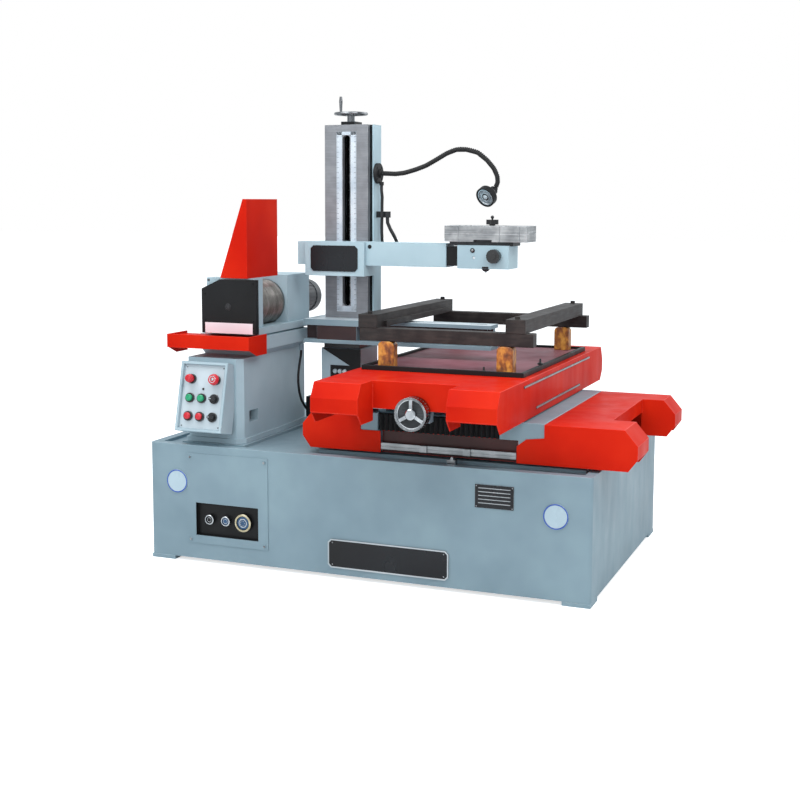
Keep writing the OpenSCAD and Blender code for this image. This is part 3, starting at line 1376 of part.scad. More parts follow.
base_casting();
levelling_pads();
access_panel();
socket_panel();
name_plates();
limit_switch();
drum_tower();
drip_tray();
control_box();
control_plate();
arm_pedestal();
arm_insulator();
lower_arm();
column_body();
guide_plate();
scale_strips();
gooseneck();
lamp_cable();
tower_cable();
x_ways();
x_motor();
lower_pulley();
x_screw();
lamp_head();
column_screw();
crank_handle();
upper_arm();
arm_plate();
head_box();
upper_pulley();
head_knob();
v_slide();
u_slide();
guide_knob();
drum_carriage();
gear_cover();
drum_motor();
splash_hood();
wire_drum();
saddle();
left_cover();
right_cover();
way_bellows();
dog_rail();
y_wheel();
y_motor();
table();
upper_cover();
work_tray();
support_bars();
work_bars();
pillars();
e_stop();
pause_button();
green_button_1();
green_button_2();
red_button_1();
red_button_2();
selector_1();
selector_2();
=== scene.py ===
# Wire EDM machine: finishes, small fittings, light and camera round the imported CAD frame.
# Lengths are metres in the frame's own axes: X right, Y back, Z up from the floor.
import bpy
import bmesh
import json
import math
from mathutils import Matrix, Vector


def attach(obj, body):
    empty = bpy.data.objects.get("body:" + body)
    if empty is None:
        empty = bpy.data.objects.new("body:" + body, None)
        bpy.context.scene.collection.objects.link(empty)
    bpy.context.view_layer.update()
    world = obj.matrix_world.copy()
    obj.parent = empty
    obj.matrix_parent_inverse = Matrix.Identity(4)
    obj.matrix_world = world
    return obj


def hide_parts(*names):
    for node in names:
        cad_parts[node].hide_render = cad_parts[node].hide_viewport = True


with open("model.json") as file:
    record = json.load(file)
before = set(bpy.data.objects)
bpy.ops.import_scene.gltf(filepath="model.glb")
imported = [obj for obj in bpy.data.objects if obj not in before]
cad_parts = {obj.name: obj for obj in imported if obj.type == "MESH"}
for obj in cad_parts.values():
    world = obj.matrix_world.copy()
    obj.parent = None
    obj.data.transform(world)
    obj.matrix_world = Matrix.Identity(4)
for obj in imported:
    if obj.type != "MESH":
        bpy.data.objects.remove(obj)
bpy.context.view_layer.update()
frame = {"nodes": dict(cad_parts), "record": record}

MM = 0.001
BED_CORNER = Vector((-0.915, -0.508, 0.015))     # front left lower corner of the bed casting
TABLE_MIDDLE = Vector((0.195, 0.0, 0.015))       # middle of the table, at the bed's lower edge
BODIES = {node: body for body, nodes in frame["record"]["behaviour"]["bodies"].items() for node in nodes}


def on_bed(x, y, z):
    """A place in millimetres from the bed's front left lower corner, in metres."""
    return BED_CORNER + Vector((x, y, z)) * MM


def on_table(x, y, z):
    """A place in millimetres from the table's middle, in metres."""
    return TABLE_MIDDLE + Vector((x, y, z)) * MM


# ---------------------------------------------------------------- camera and light
def set_camera():
    data = bpy.data.cameras.new("photo_view")
    camera = bpy.data.objects.new("photo_view", data)
    bpy.context.scene.collection.objects.link(camera)
    camera.location = (1.7413, -4.6212, 1.3499)
    camera.rotation_euler = (math.radians(83.42), math.radians(-0.15), math.radians(21.78))
    data.sensor_width = 36
    data.lens = 58.10
    data.shift_y = -0.0625
    data.dof.use_dof = False
    bpy.context.scene.camera = camera


def add(tree, kind, links=None, **settings):
    """Adds one node with its settings, and fills or links its inputs."""
    new = tree.nodes.new(kind)
    for name, value in settings.items():
        setattr(new, name, value)
    for socket, value in (links or {}).items():
        if isinstance(value, bpy.types.NodeSocket):
            tree.links.new(value, new.inputs[socket])
        else:
            new.inputs[socket].default_value = value
    return new


def linear(code):
    """An sRGB hex colour as linear RGBA."""
    parts = [int(code[i:i + 2], 16) / 255 for i in (1, 3, 5)]
    return [c / 12.92 if c <= 0.04045 else ((c + 0.055) / 1.055) ** 2.4 for c in parts] + [1.0]


def set_studio():
    """White room and floor with four soft square lamps: above, in front, at the right and behind."""
    world = bpy.data.worlds.new("white_room")
    bpy.context.scene.world = world
    world.use_nodes = True
    tree = world.node_tree
    tree.nodes.clear()
    path = add(tree, "ShaderNodeLightPath")
    seen = add(tree, "ShaderNodeMath", {0: path.outputs["Is Camera Ray"],
                                        1: path.outputs["Is Transmission Ray"]},
               operation="MAXIMUM")
    room = add(tree, "ShaderNodeBackground", {"Color": linear("#E9EEF2"), "Strength": 0.9})
    sheet = add(tree, "ShaderNodeBackground", {"Color": linear("#FFFFFF"), "Strength": 1.0})
    mix = add(tree, "ShaderNodeMixShader", {0: seen.outputs[0], 1: room.outputs[0], 2: sheet.outputs[0]})
    add(tree, "ShaderNodeOutputWorld", {"Surface": mix.outputs[0]})
    lamps = (
        ("top_softbox", (-1.2, -1.6, 4.2), (0.0, 0.0, 0.6), 3.0, 104),
        ("front_softbox", (-1.2, -5.4, 2.2), (0.0, 0.0, 0.6), 3.0, 28),
        ("right_softbox", (1.9, -1.5, 2.9), (-0.3, 0.0, 0.9), 1.6, 36),
        ("rear_softbox", (1.8, 3.4, 3.0), (0.0, 0.0, 0.7), 2.4, 38),
    )
    for name, place, aim, size, power in lamps:
        data = bpy.data.lights.new(name, "AREA")
        data.shape = "SQUARE"
        data.size = size
        data.energy = power
        lamp = bpy.data.objects.new(name, data)
        lamp.location = place
        lamp.rotation_euler = (Vector(aim) - Vector(place)).to_track_quat("-Z", "Y").to_euler()
        bpy.context.scene.collection.objects.link(lamp)
    floor_mesh = bpy.data.meshes.new("floor")
    side = 40.0
    floor_mesh.from_pydata([(-side, -side, 0), (side, -side, 0), (side, side, 0), (-side, side, 0)], [],
                           [(0, 1, 2, 3)])
    floor = bpy.data.objects.new("floor", floor_mesh)
    bpy.context.scene.collection.objects.link(floor)
    paper = bpy.data.materials.new("white_floor")
    paper.use_nodes = True
    tree = paper.node_tree
    tree.nodes.clear()
    path = add(tree, "ShaderNodeLightPath")
    matt = add(tree, "ShaderNodeBsdfDiffuse", {"Color": linear("#EDEFF0")})
    glow = add(tree, "ShaderNodeEmission", {"Color": linear("#FFFFFF"), "Strength": 0.66})
    both = add(tree, "ShaderNodeAddShader", {0: matt.outputs[0], 1: glow.outputs[0]})
    mix = add(tree, "ShaderNodeMixShader", {0: path.outputs["Is Camera Ray"], 1: matt.outputs[0],
                                            2: both.outputs[0]})
    add(tree, "ShaderNodeOutputMaterial", {"Surface": mix.outputs[0]})
    floor_mesh.materials.append(paper)
    bpy.context.scene.view_settings.view_transform = "Standard"


set_camera()


# ---------------------------------------------------------------- finishes
def start_finish(name, **sockets):
    """A new material with a Principled shader whose own sockets are set, and its Object coordinates."""
    material = bpy.data.materials.new(name)
    material.use_nodes = True
    tree = material.node_tree
    tree.nodes.clear()
    shader = add(tree, "ShaderNodeBsdfPrincipled", {key.replace("_", " "): value for key,
                                                    value in sockets.items()})
    add(tree, "ShaderNodeOutputMaterial", {"Surface": shader.outputs[0]})
    place = add(tree, "ShaderNodeTexCoord").outputs["Object"]
    return material, tree, shader, place


def shade(tree, factor, stops):
    """Colours at places along a factor."""
    ramp = add(tree, "ShaderNodeValToRGB", {"Fac": factor})
    points = ramp.color_ramp.elements
    while len(points) < len(stops):
        points.new(0.5)
    for point, (place, code) in zip(points, stops):
        point.position = place
        point.color = linear(code)
    return ramp.outputs["Color"]


def noise(tree, place, size_mm, detail=3.0, stretch=(1, 1, 1), rough=0.5):
    """Noise whose blotches are about size_mm across, drawn out where stretch is below 1."""
    grain = add(tree, "ShaderNodeMapping", {"Vector": place,
                                            "Scale": tuple(s / (size_mm * MM) for s in stretch)})
    return add(tree, "ShaderNodeTexNoise", {"Vector": grain.outputs[0], "Scale": 1.0, "Detail": detail,
                                            "Roughness": rough}).outputs["Fac"]


def span(tree, value, low, high, start=0.3, stop=0.7):
    """A value between start and stop spread over low to high."""
    return add(tree, "ShaderNodeMapRange", {"Value": value, "From Min": start, "From Max": stop,
                                            "To Min": low, "To Max": high}).outputs["Result"]


def blend_colour(tree, factor, one, other):
    mix = add(tree, "ShaderNodeMix", {0: factor, 6: one, 7: other}, data_type="RGBA", blend_type="MIX")
    return mix.outputs[2]


def bump(tree, heights, shader):
    """Puts height patterns on a shader, each with its depth in millimetres."""
    normal = None
    for height, depth_mm, strength in heights:
        links = {"Height": height, "Distance": depth_mm * MM, "Strength": strength}
        if normal:
            links["Normal"] = normal
        normal = add(tree, "ShaderNodeBump", links).outputs["Normal"]
    tree.links.new(normal, shader.inputs["Normal"])


def enamel(name, dark, base, light, gloss, ripple_mm=60, ripple=0.12, grime="#5A5F5E", dirt=0.05, glint=0.35):
    """Sprayed enamel over filler: cloudy colour, fine orange peel, a slow ripple, a few dull smears."""
    material, tree, shader, place = start_finish(name, IOR=1.5, Coat_Weight=0.02, Coat_Roughness=0.12,
                                                 Specular_IOR_Level=glint)
    cloud = noise(tree, place, 260, 3)
    smear = noise(tree, place, 70, 5, (1, 1, 0.4))
    speck = noise(tree, place, 9, 4)
    colour = shade(tree, cloud, ((0.32, dark), (0.5, base), (0.68, light)))
    dull = add(tree, "ShaderNodeMath", {0: span(tree, smear, 0, dirt, 0.52, 0.78), 1: span(tree, speck, 0.4, 1)},
               operation="MULTIPLY")
    tree.links.new(blend_colour(tree, dull.outputs[0], colour, linear(grime)), shader.inputs["Base Color"])
    tree.links.new(span(tree, smear, gloss - 0.06, gloss + 0.1), shader.inputs["Roughness"])
    bump(tree, ((noise(tree, place, ripple_mm, 2), 0.4, ripple), (noise(tree, place, 2.2, 2), 0.03, 0.25)),
         shader)
    return material


def highlit_chipped_edge(name, base, lighter_chip, gloss):
    """Enamel on a rounded edge: a colour a little lighter than most faces it joins, as a painted highlight, and
    lighter chips that are partly wear and partly painted highlight.
    """
    material, tree, shader, place = start_finish(name, IOR=1.5, Coat_Weight=0.04, Coat_Roughness=0.12,
                                                 Specular_IOR_Level=0.12)
    chips = noise(tree, place, 14, 6, rough=0.7)
    run = noise(tree, place, 120, 2)
    edge = add(tree, "ShaderNodeMath", {0: chips, 1: span(tree, run, -0.06, 0.08)}, operation="ADD")
    tree.links.new(shade(tree, edge.outputs[0], ((0.6, base), (0.66, lighter_chip))), shader.inputs["Base Color"])
    tree.links.new(span(tree, chips, gloss, gloss + 0.15), shader.inputs["Roughness"])
    bump(tree, ((chips, 0.15, 0.3),), shader)
    return material


def metal(name, dark, base, light, rough, line_mm=(60, 60, 0.6), depth=0.02, spots=0.0, stain="#6A5F55",
          metallic=1.0):
    """Machined metal: fine tool lines drawn out along two axes, clouds of tone, and a few stains."""
    material, tree, shader, place = start_finish(name, Metallic=metallic)
    lines = add(tree, "ShaderNodeMapping", {"Vector": place,
                                            "Scale": tuple(1 / (size * MM) for size in line_mm)})
    cut = add(tree, "ShaderNodeTexNoise", {"Vector": lines.outputs[0], "Scale": 1.0,
                                           "Detail": 4.0}).outputs["Fac"]
    cloud = noise(tree, place, 55, 4)
    tone = add(tree, "ShaderNodeMath", {0: span(tree, cut, -0.16, 0.16), 1: cloud}, operation="ADD")
    colour = shade(tree, tone.outputs[0], ((0.3, dark), (0.5, base), (0.7, light)))
    spot = span(tree, noise(tree, place, 18, 6, rough=0.65), 0, spots, 0.55, 0.7)
    tree.links.new(blend_colour(tree, spot, colour, linear(stain)), shader.inputs["Base Color"])
    tree.links.new(span(tree, cut, rough - 0.08, rough + 0.1), shader.inputs["Roughness"])
    bump(tree, ((cut, depth, 0.5),), shader)
    return material


def plastic(name, base, light, rough, grain_mm=1.2, depth=0.03, coat=0.0):
    """Moulded plastic or rubber: an even tone with a fine mould grain and a little dust."""
    material, tree, shader, place = start_finish(name, IOR=1.48, Coat_Weight=coat, Coat_Roughness=0.08)
    dust = noise(tree, place, 40, 5)
    grain = noise(tree, place, grain_mm, 2)
    tree.links.new(shade(tree, dust, ((0.4, base), (0.75, light))), shader.inputs["Base Color"])
    tree.links.new(span(tree, dust, rough - 0.05, rough + 0.12), shader.inputs["Roughness"])
    bump(tree, ((grain, depth, 0.5),), shader)
    return material


def laminate(name):
    """Phenolic laminate, sawn and varnished: thin layers on edge with amber and brown streaks."""
    material, tree, shader, place = start_finish(name, IOR=1.52, Coat_Weight=0.2, Coat_Roughness=0.25)
    layer = noise(tree, place, 7, 5, (0.35, 1, 0.16), 0.6)
    patch = noise(tree, place, 30, 3)
    tone = add(tree, "ShaderNodeMath", {0: layer, 1: span(tree, patch, -0.14, 0.14)}, operation="ADD")
    tree.links.new(shade(tree, tone.outputs[0], ((0.3, "#5E3417"), (0.45, "#9A5A22"), (0.58, "#C8862F"),
                                                 (0.72, "#DDA344"))),
                   shader.inputs["Base Color"])
    tree.links.new(span(tree, layer, 0.32, 0.55), shader.inputs["Roughness"])
    bump(tree, ((layer, 0.12, 0.4),), shader)
    return material


def scale_face(name):
    """Anodised strip: pale satin metal whose fine divisions, 1 mm apart, are drawn 4 mm apart to show."""
    material, tree, shader, place = start_finish(name, Metallic=0.35, Roughness=0.38)
    part = add(tree, "ShaderNodeSeparateXYZ", {0: place})
    step = add(tree, "ShaderNodeMath", {0: part.outputs["Z"], 1: 1 / 0.004}, operation="MULTIPLY")
    saw = add(tree, "ShaderNodeMath", {0: step.outputs[0]}, operation="FRACT")
    line = span(tree, saw.outputs[0], 0.0, 1.0, 0.72, 0.78)
    cloud = shade(tree, noise(tree, place, 80, 3), ((0.35, "#C6D2DD"), (0.65, "#E4ECF2")))
    tree.links.new(blend_colour(tree, line, cloud, linear("#8E9AA6")), shader.inputs["Base Color"])
    bump(tree, ((noise(tree, place, 1.0, 2), 0.02, 0.4),), shader)
    return material


FINISHES = {
    "bed": enamel("grey_blue_enamel_on_cast_iron", "#798F9A", "#8096A1", "#879EA8", 0.4, glint=0.2),
    # The tower, pedestal and drum carriage carry the bed's paint; this copy is lighter as painted light on faces in
    # the shade under the drip tray.
    "tower": enamel("grey_blue_enamel_with_painted_light", "#9DB3BD", "#A4BAC4", "#ABC1CA", 0.4, glint=0.2),
    # Painted highlight: rounded edges lighter than the grey-blue bed, with chips that are partly wear.
    "bed_edge": highlit_chipped_edge("grey_blue_edge_highlight_and_chips", "#92A8B2", "#AEBBC0", 0.36),
    "box": enamel("pale_grey_powder_coat", "#9DB1BB", "#A6BAC3", "#B0C3CB", 0.4, dirt=0.04),
    # The column, upper arm and head are paler than the bed partly by their own paint and partly as painted light on
    # the column's side.
    "arm": enamel("pale_blue_enamel_with_painted_light", "#9DB7C2", "#A6C0CA", "#AFC8D1", 0.38, dirt=0.04),
    "plate": enamel("white_grey_front_plate", "#B9C7CF", "#C2CFD6", "#CBD7DD", 0.45, grime="#98A2A8"),
    "red": enamel("red_gloss_enamel_on_sheet", "#BE1C0D", "#C8220F", "#D02A14", 0.36, 90, 0.08, "#A81C0E",
                  0.03, 0.03),
    # Painted highlight: rounded red edges in a lighter red, with chips in a lighter red still.
    "red_edge": highlit_chipped_edge("red_edge_highlight_and_chips", "#D82C1A", "#DC4C38", 0.34),
    "tray": enamel("faded_pink_tray_paint", "#7A4A54", "#8B5862", "#9A6872", 0.5, 50, 0.2, "#4D3236", 0.2),
    "black": enamel("black_satin_enamel", "#0E0F10", "#131416", "#191A1C", 0.44, dirt=0.03, glint=0.25),
    # Painted highlight: rounded black edges in a lighter grey-black, with chips that are partly wear.
    "black_edge": highlit_chipped_edge("black_edge_highlight_and_chips", "#1E2022", "#44474A", 0.36),
    "gloss_black": enamel("black_engraving_plate", "#0C0D10", "#111318", "#181B20", 0.22, dirt=0.02),
    "badge": enamel("pale_enamelled_badge", "#A3B8C4", "#ABC0CB", "#B3C7D1", 0.3, dirt=0.02),
    "badge_ring": enamel("blue_enamelled_ring", "#2A4FA0", "#3159AD", "#3B66B8", 0.3, dirt=0.02),
    "line": enamel("pale_engraved_line", "#AEB7BC", "#B9C1C6", "#C4CBCF", 0.4, dirt=0.1),
    "label": enamel("white_card_label", "#E2D8DF", "#EBE2E8", "#F2EBF0", 0.55, dirt=0.1, grime="#C890A4"),
    # Painted shade with a painted red reflection: the lower arm's web between its flanges is dark red-brown for its
    # shade and the red table it faces.
    "shaded_web": enamel("red_brown_painted_shade", "#2A2022", "#352628", "#43302F", 0.5, dirt=0.2),
    # Painted shade: the red cover's recessed front wall between the horns is coloured near-black red for the shadow it
    # sits in.
    "shaded_recess": enamel("red_recess_in_painted_shade", "#2E1414", "#3B1918", "#4A2220", 0.42, dirt=0.15),
    "motor": enamel("dark_grey_motor_paint", "#45474A", "#515457", "#5E6164", 0.45, dirt=0.2),
    "blue_cap": enamel("blue_socket_plug", "#27486B", "#33597F", "#426B93", 0.3, dirt=0.05),
    "gilt": metal("gilt_ring", "#9A8F70", "#BDB190", "#D8CFB4", 0.25, (30, 30, 30), 0.01, 0.05),
    "lens": metal("lamp_reflector", "#6E747A", "#8C9298", "#AEB4B9", 0.2, (12, 12, 12), 0.02, 0.05,
                  metallic=0.5),
    "ground": metal("ground_cast_iron", "#7E8085", "#878A8F", "#909398", 0.46, (120, 90, 3), 0.01, 0.08,
                    "#7A7066", 0.55),
    "slide": metal("ground_steel_slide", "#7E8184", "#9A9D9F", "#B6B8B9", 0.4, (160, 90, 3), 0.02, 0.16,
                   metallic=0.75),
    "slide_dark": metal("oiled_steel_way", "#232527", "#303336", "#44474A", 0.4, (120, 90, 3), 0.02, 0.1,
                        metallic=0.5),
    "bright": metal("bright_ground_steel", "#A9AFB4", "#BEC3C7", "#D2D6D9", 0.32, (90, 90, 2.0), 0.015, 0.1),
    "arm_top": metal("bright_ground_arm_top", "#B8C8D0", "#CBD9E0", "#DDE8ED", 0.4, (90, 8, 90), 0.01, 0.1,
                     "#8FA3AE", 0.3),
    "chrome": metal("polished_chrome", "#A6AAAE", "#BFC3C7", "#DDE0E2", 0.14, (30, 30, 30), 0.01, 0.05),
    "dark_chrome": metal("dull_chrome", "#6C6E71", "#86898C", "#A5A8AB", 0.24, (30, 30, 30), 0.01, 0.1),
    "steel": metal("turned_steel", "#8D9194", "#A7ABAE", "#C2C5C7", 0.28, (0.7, 40, 40), 0.02, 0.1),
    "rail": metal("brushed_aluminium", "#8F9497", "#A3A8AB", "#B8BCBF", 0.4, (80, 1.6, 1.6), 0.015, 0.1,
                  metallic=0.7),
    "drum": metal("turned_drum_with_wire", "#63615E", "#85827E", "#A8A5A1", 0.34, (60, 1.6, 60), 0.05, 0.05,
                  metallic=0.85),
    "bar": metal("blackened_steel", "#211D1D", "#2B2726", "#393432", 0.5, (70, 70, 8), 0.03, 0.18,
                 "#4C3A31", 0.35),
    "laminate": laminate("phenolic_laminate"),
    "scale": scale_face("anodised_scale"),
    "tick": enamel("grey_engraved_tick", "#75808C", "#808B97", "#8D97A2", 0.5),
    "rubber": plastic("black_rubber", "#0E0F10", "#1C1D1F", 0.62, 2.0, 0.06),
    "bakelite": plastic("black_bakelite", "#131416", "#202226", 0.32, 1.0, 0.02, 0.2),
    "cable": plastic("black_pvc_sheath", "#101113", "#1E2023", 0.42, 1.5, 0.03),
    "red_cap": plastic("red_button_cap", "#BE1426", "#CF2834", 0.25, 0.8, 0.01, 0.3),
    "green_cap": plastic("green_button_cap", "#0B8F60", "#22A878", 0.25, 0.8, 0.01, 0.3),
}

# node: finish, finish of its rounded edges, radius of the edges in millimetres
COATS = {
    "base_casting": ("bed", "bed_edge", 4), "levelling_pads": ("bed", "bed_edge", 2),
    "access_panel": ("bed", "bed_edge", 0.8), "socket_panel": ("black", "black_edge", 0.6),
    "limit_switch": ("dark_chrome", "chrome", 0.8),
    "drum_tower": ("tower", "bed_edge", 3.5), "drip_tray": ("red", "red_edge", 1.0),
    "control_box": ("box", "bed_edge", 2.5), "control_plate": ("plate", "plate", 0.4),
    "arm_pedestal": ("tower", "bed_edge", 3), "arm_insulator": ("bakelite", "bakelite", 1),
    "lower_arm": ("bed", "bed_edge", 2), "column_body": ("arm", "bed_edge", 2.5),
    "guide_plate": ("ground", "slide", 1.0), "scale_strips": ("scale", "scale", 0.2),
    "x_ways": ("ground", "slide", 1.0), "x_motor": ("black", "black_edge", 2),
    "lower_pulley": ("chrome", "chrome", 0.5), "x_screw": ("steel", "steel", 0.8),
    "column_screw": ("dark_chrome", "dark_chrome", 0.6), "crank_handle": ("dark_chrome", "dark_chrome", 1.2),
    "upper_arm": ("arm", "bed_edge", 2), "arm_plate": ("gloss_black", "black_edge", 0.5),
    "head_box": ("arm", "bed_edge", 1.6), "upper_pulley": ("chrome", "chrome", 0.5),
    "head_knob": ("bakelite", "bakelite", 1.0), "v_slide": ("slide", "bright", 1.0),
    "u_slide": ("slide", "bright", 1.0), "guide_knob": ("bakelite", "bakelite", 0.8),
    "drum_carriage": ("tower", "bed_edge", 2.5), "gear_cover": ("black", "black_edge", 1.2),
    "drum_motor": ("motor", "motor", 1.0), "splash_hood": ("red", "red_edge", 0.8),
    "wire_drum": ("drum", "steel", 0.8), "saddle": ("bed", "bed_edge", 2.5),
    "left_cover": ("red", "red_edge", 1.4), "right_cover": ("red", "red_edge", 1.4),
    "way_bellows": ("rubber", "rubber", 0.8), "dog_rail": ("rail", "bright", 0.6),
    "y_wheel": ("dark_chrome", "chrome", 1.0), "y_motor": ("black", "black_edge", 2),
    "table": ("bed", "bed_edge", 1.5), "upper_cover": ("red", "red_edge", 1.4),
    "work_tray": ("tray", "black_edge", 1.0), "support_bars": ("bar", "bar", 1.6),
    "work_bars": ("bar", "bar", 1.6), "pillars": ("laminate", "laminate", 2.5),
    "e_stop": ("red_cap", "red_cap", 1.5), "pause_button": ("red_cap", "red_cap", 1.5),
    "green_button_1": ("green_cap", "green_cap", 1.2), "green_button_2": ("green_cap", "green_cap", 1.2),
    "red_button_1": ("red_cap", "red_cap", 1.2), "red_button_2": ("red_cap", "red_cap", 1.2),
    "selector_1": ("bakelite", "bakelite", 0.8), "selector_2": ("bakelite", "bakelite", 0.8),
    "gooseneck": ("rubber", "rubber", 0.8), "lamp_cable": ("cable", "cable", 0.5), "lamp_head": ("black", "black_edge", 1.0),
    "name_plates": ("gloss_black", "rail", 0.4),
}
SHARP = math.radians(32)
PAN_FLOOR = -8.5     # the pan's floor, measured from its rim


def cad_points(node):
    return [vertex.co for vertex in frame["nodes"][node].data.vertices]


PAN_RIM = (max(point.z for point in cad_points("work_tray")) - TABLE_MIDDLE.z) / MM
WHEEL_FACE = (min(point.y for point in cad_points("y_wheel")) - TABLE_MIDDLE.y) / MM


# Each chooser names the finish of a face from its middle, in millimetres, and its normal.
def plate_faces(x, y, z, normal):
    raised = normal.y < -0.9 and y < -3.5
    if min(abs(x - 116), abs(x - 1577)) < 50:
        return "badge_ring" if raised else "badge"
    return "line" if raised else None


def gear_cover_faces(x, y, z, normal):
    return "label" if y < 149.5 and normal.y < -0.9 else None


def tray_faces(x, y, z, normal):
    if abs(x) > 326:
        return "rail"
    return None if normal.z > 0.9 and z < PAN_RIM + PAN_FLOOR else "black"


def lower_arm_faces(x, y, z, normal):
    if normal.z > 0.9 and z > 871:
        return "arm_top"
    # The web's faces between the flanges take the painted shade finish.
    return "shaded_web" if abs(normal.y) > 0.9 and 795 < z < 855 else None


def column_faces(x, y, z, normal):
    # Painted shade: the channel behind the scale slot and the groove beside the guide plate are coloured black for the
    # shade in these recesses.
    channel = 592.5 < y < 641 and 520 < x < 597
    groove = 648 < x < 660.5 and y < 606
    return "black" if channel or groove or z > 1633 else None


def head_faces(x, y, z, normal):
    if x < 1061 and z < 1172:
        return "black"
    return "slide_dark" if z > 1172.5 else None


def right_cover_faces(x, y, z, normal):
    # The recessed front wall, about 20 mm behind the cover's front, takes the painted shade finish.
    return "shaded_recess" if normal.y < -0.9 and -410 < y < -400 and x < 303 else None


def pedestal_faces(x, y, z, normal):
    if not (505 < x < 595 and 636 < z < 690 and y < 529):
        return None
    return "chrome" if y < 519.5 else "black"


def wheel_faces(x, y, z, normal):
    # Painted reflection: a band of the dished face, 6 to 12 mm behind the front, is coloured dark for the chrome's
    # dark ring.
    return "slide_dark" if normal.y < -0.9 and WHEEL_FACE + 6 < y < WHEEL_FACE + 12 else None


# node: the finishes its chooser can name, the corner it measures from, the chooser
FACES = {
    "name_plates": (("badge", "badge_ring", "line"), BED_CORNER, plate_faces),
    "gear_cover": (("label",), BED_CORNER, gear_cover_faces),
    "work_tray": (("rail", "black"), TABLE_MIDDLE, tray_faces),
    "lower_arm": (("arm_top", "shaded_web"), BED_CORNER, lower_arm_faces),
    "column_body": (("black",), BED_CORNER, column_faces),
    "head_box": (("black", "slide_dark"), BED_CORNER, head_faces),
    "right_cover": (("shaded_recess",), TABLE_MIDDLE, right_cover_faces),
    "arm_pedestal": (("chrome", "black"), BED_CORNER, pedestal_faces),
    "y_wheel": (("slide_dark",), TABLE_MIDDLE, wheel_faces),
}


def new_piece(name, mesh, finishes, body):
    """Links a mesh as a piece that rides on a body, with its finishes in order."""
    piece = bpy.data.objects.new(name, mesh)
    bpy.context.scene.collection.objects.link(piece)
    if mesh.materials:     # clearing also zeroes the faces' finish numbers, so an empty list is left alone
        mesh.materials.clear()
    for finish in finishes:
        mesh.materials.append(FINISHES[finish])
    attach(piece, body)
    return piece


ARM_STEP_MM = 1.5     # the arm's top is levelled over the small step of its saddle


def welded(node):
    """A merged copy of a CAD node's mesh without the lines inside its flat faces."""
    copy = bmesh.new()
    copy.from_mesh(frame["nodes"][node].data)
    if node == "upper_arm":
        top = max(vertex.co.z for vertex in copy.verts)
        for vertex in copy.verts:
            if top - vertex.co.z < ARM_STEP_MM * MM:
                vertex.co.z = top
    bmesh.ops.remove_doubles(copy, verts=copy.verts, dist=2e-6)
    bmesh.ops.dissolve_degenerate(copy, edges=copy.edges, dist=1e-6)
    bmesh.ops.dissolve_limit(copy, angle_limit=math.radians(0.6), verts=copy.verts, edges=copy.edges)
    return copy


def round_edges(piece, radius_mm, edge_slot=1, steps=2):
    """Rounds a piece's sharp edges and keeps its flat faces flat in the light."""
    if radius_mm > 0:
        bevel = piece.modifiers.new("rounded_edges", "BEVEL")
        bevel.limit_method = "ANGLE"
        bevel.angle_limit = SHARP
        bevel.width = radius_mm * MM
        bevel.segments = steps
        bevel.material = edge_slot
        bevel.use_clamp_overlap = True
    flat = piece.modifiers.new("even_faces", "WEIGHTED_NORMAL")
    flat.keep_sharp = True
    flat.weight = 100


def coat(node):
    """Stands a rounded copy of a CAD node in its place, in its own finish."""
    finish, edge, radius = COATS[node]
    extras, corner, chooser = FACES.get(node, ((), None, None))
    copy = welded(node)
    copy.normal_update()
    for face in copy.faces:
        face.smooth = True
        chosen = chooser and chooser(*((face.calc_center_median() - corner) / MM), face.normal)
        if chosen:
            face.material_index = 2 + extras.index(chosen)
    mesh = bpy.data.meshes.new(node + "_coated")
    copy.to_mesh(mesh)
    copy.free()
    mesh.set_sharp_from_angle(angle=SHARP)
    piece = new_piece(node + "_coated", mesh, (finish, edge, *extras), BODIES[node])
    round_edges(piece, radius)
    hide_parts(node)
    return piece


# ---------------------------------------------------------------- the cable beside the tower
TOWER_CABLE = [
    (362, 556, 736), (362, 556, 732), (361.5, 553, 711.5), (360.5, 547, 691.5), (360, 541, 671.5),
    (359.5, 536, 651), (359.5, 533, 630.5), (359.5, 532.5, 609.5), (360, 534.5, 589), (360.5, 539, 568.5),
    (361.5, 546.5, 549), (362.5, 556, 530.5), (364, 569, 514.5), (365, 584, 500), (365.5, 596, 489.5),
    (366, 607.5, 478.5), (367, 617.5, 466.5), (367.5, 624, 451.5), (368, 626, 436), (368, 626, 432),
]


def tube(name, points, radius, finish, body, sides=16, resolution=4):
    """A round cord through points, as one smooth closed mesh."""
    curve = bpy.data.curves.new(name, "CURVE")
    curve.dimensions = "3D"
    curve.bevel_depth = radius
    curve.bevel_resolution = sides // 4
    curve.use_fill_caps = True
    curve.resolution_u = resolution
    spline = curve.splines.new("POLY")
    spline.points.add(len(points) - 1)
    for point, place in zip(spline.points, points):
        point.co = (*place, 1)
    holder = bpy.data.objects.new(name, curve)
    bpy.context.scene.collection.objects.link(holder)
    mesh = bpy.data.meshes.new_from_object(holder.evaluated_get(bpy.context.evaluated_depsgraph_get()))
    bpy.data.objects.remove(holder)
    for polygon in mesh.polygons:
        polygon.use_smooth = True
    return new_piece(name, mesh, (finish,), body)


def smooth_route(points, steps=4):
    """Points along a Catmull-Rom line through the given ones."""
    route = []
    for i in range(len(points) - 1):
        a, b, c, d = (points[min(max(k, 0), len(points) - 1)] for k in (i - 1, i, i + 1, i + 2))
        for s in range(steps):
            t = s / steps
            route.append(0.5 * (2 * b + (c - a) * t + (2 * a - 5 * b + 4 * c - d) * t ** 2
                                + (3 * b - a - 3 * c + d) * t ** 3))
    return route + [points[-1]]


def lay_tower_cable():
    route = [on_bed(*p) for p in TOWER_CABLE]
    piece = tube("tower_cable_sheath", route, 5 * MM, "cable", "bed")
    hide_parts("tower_cable")


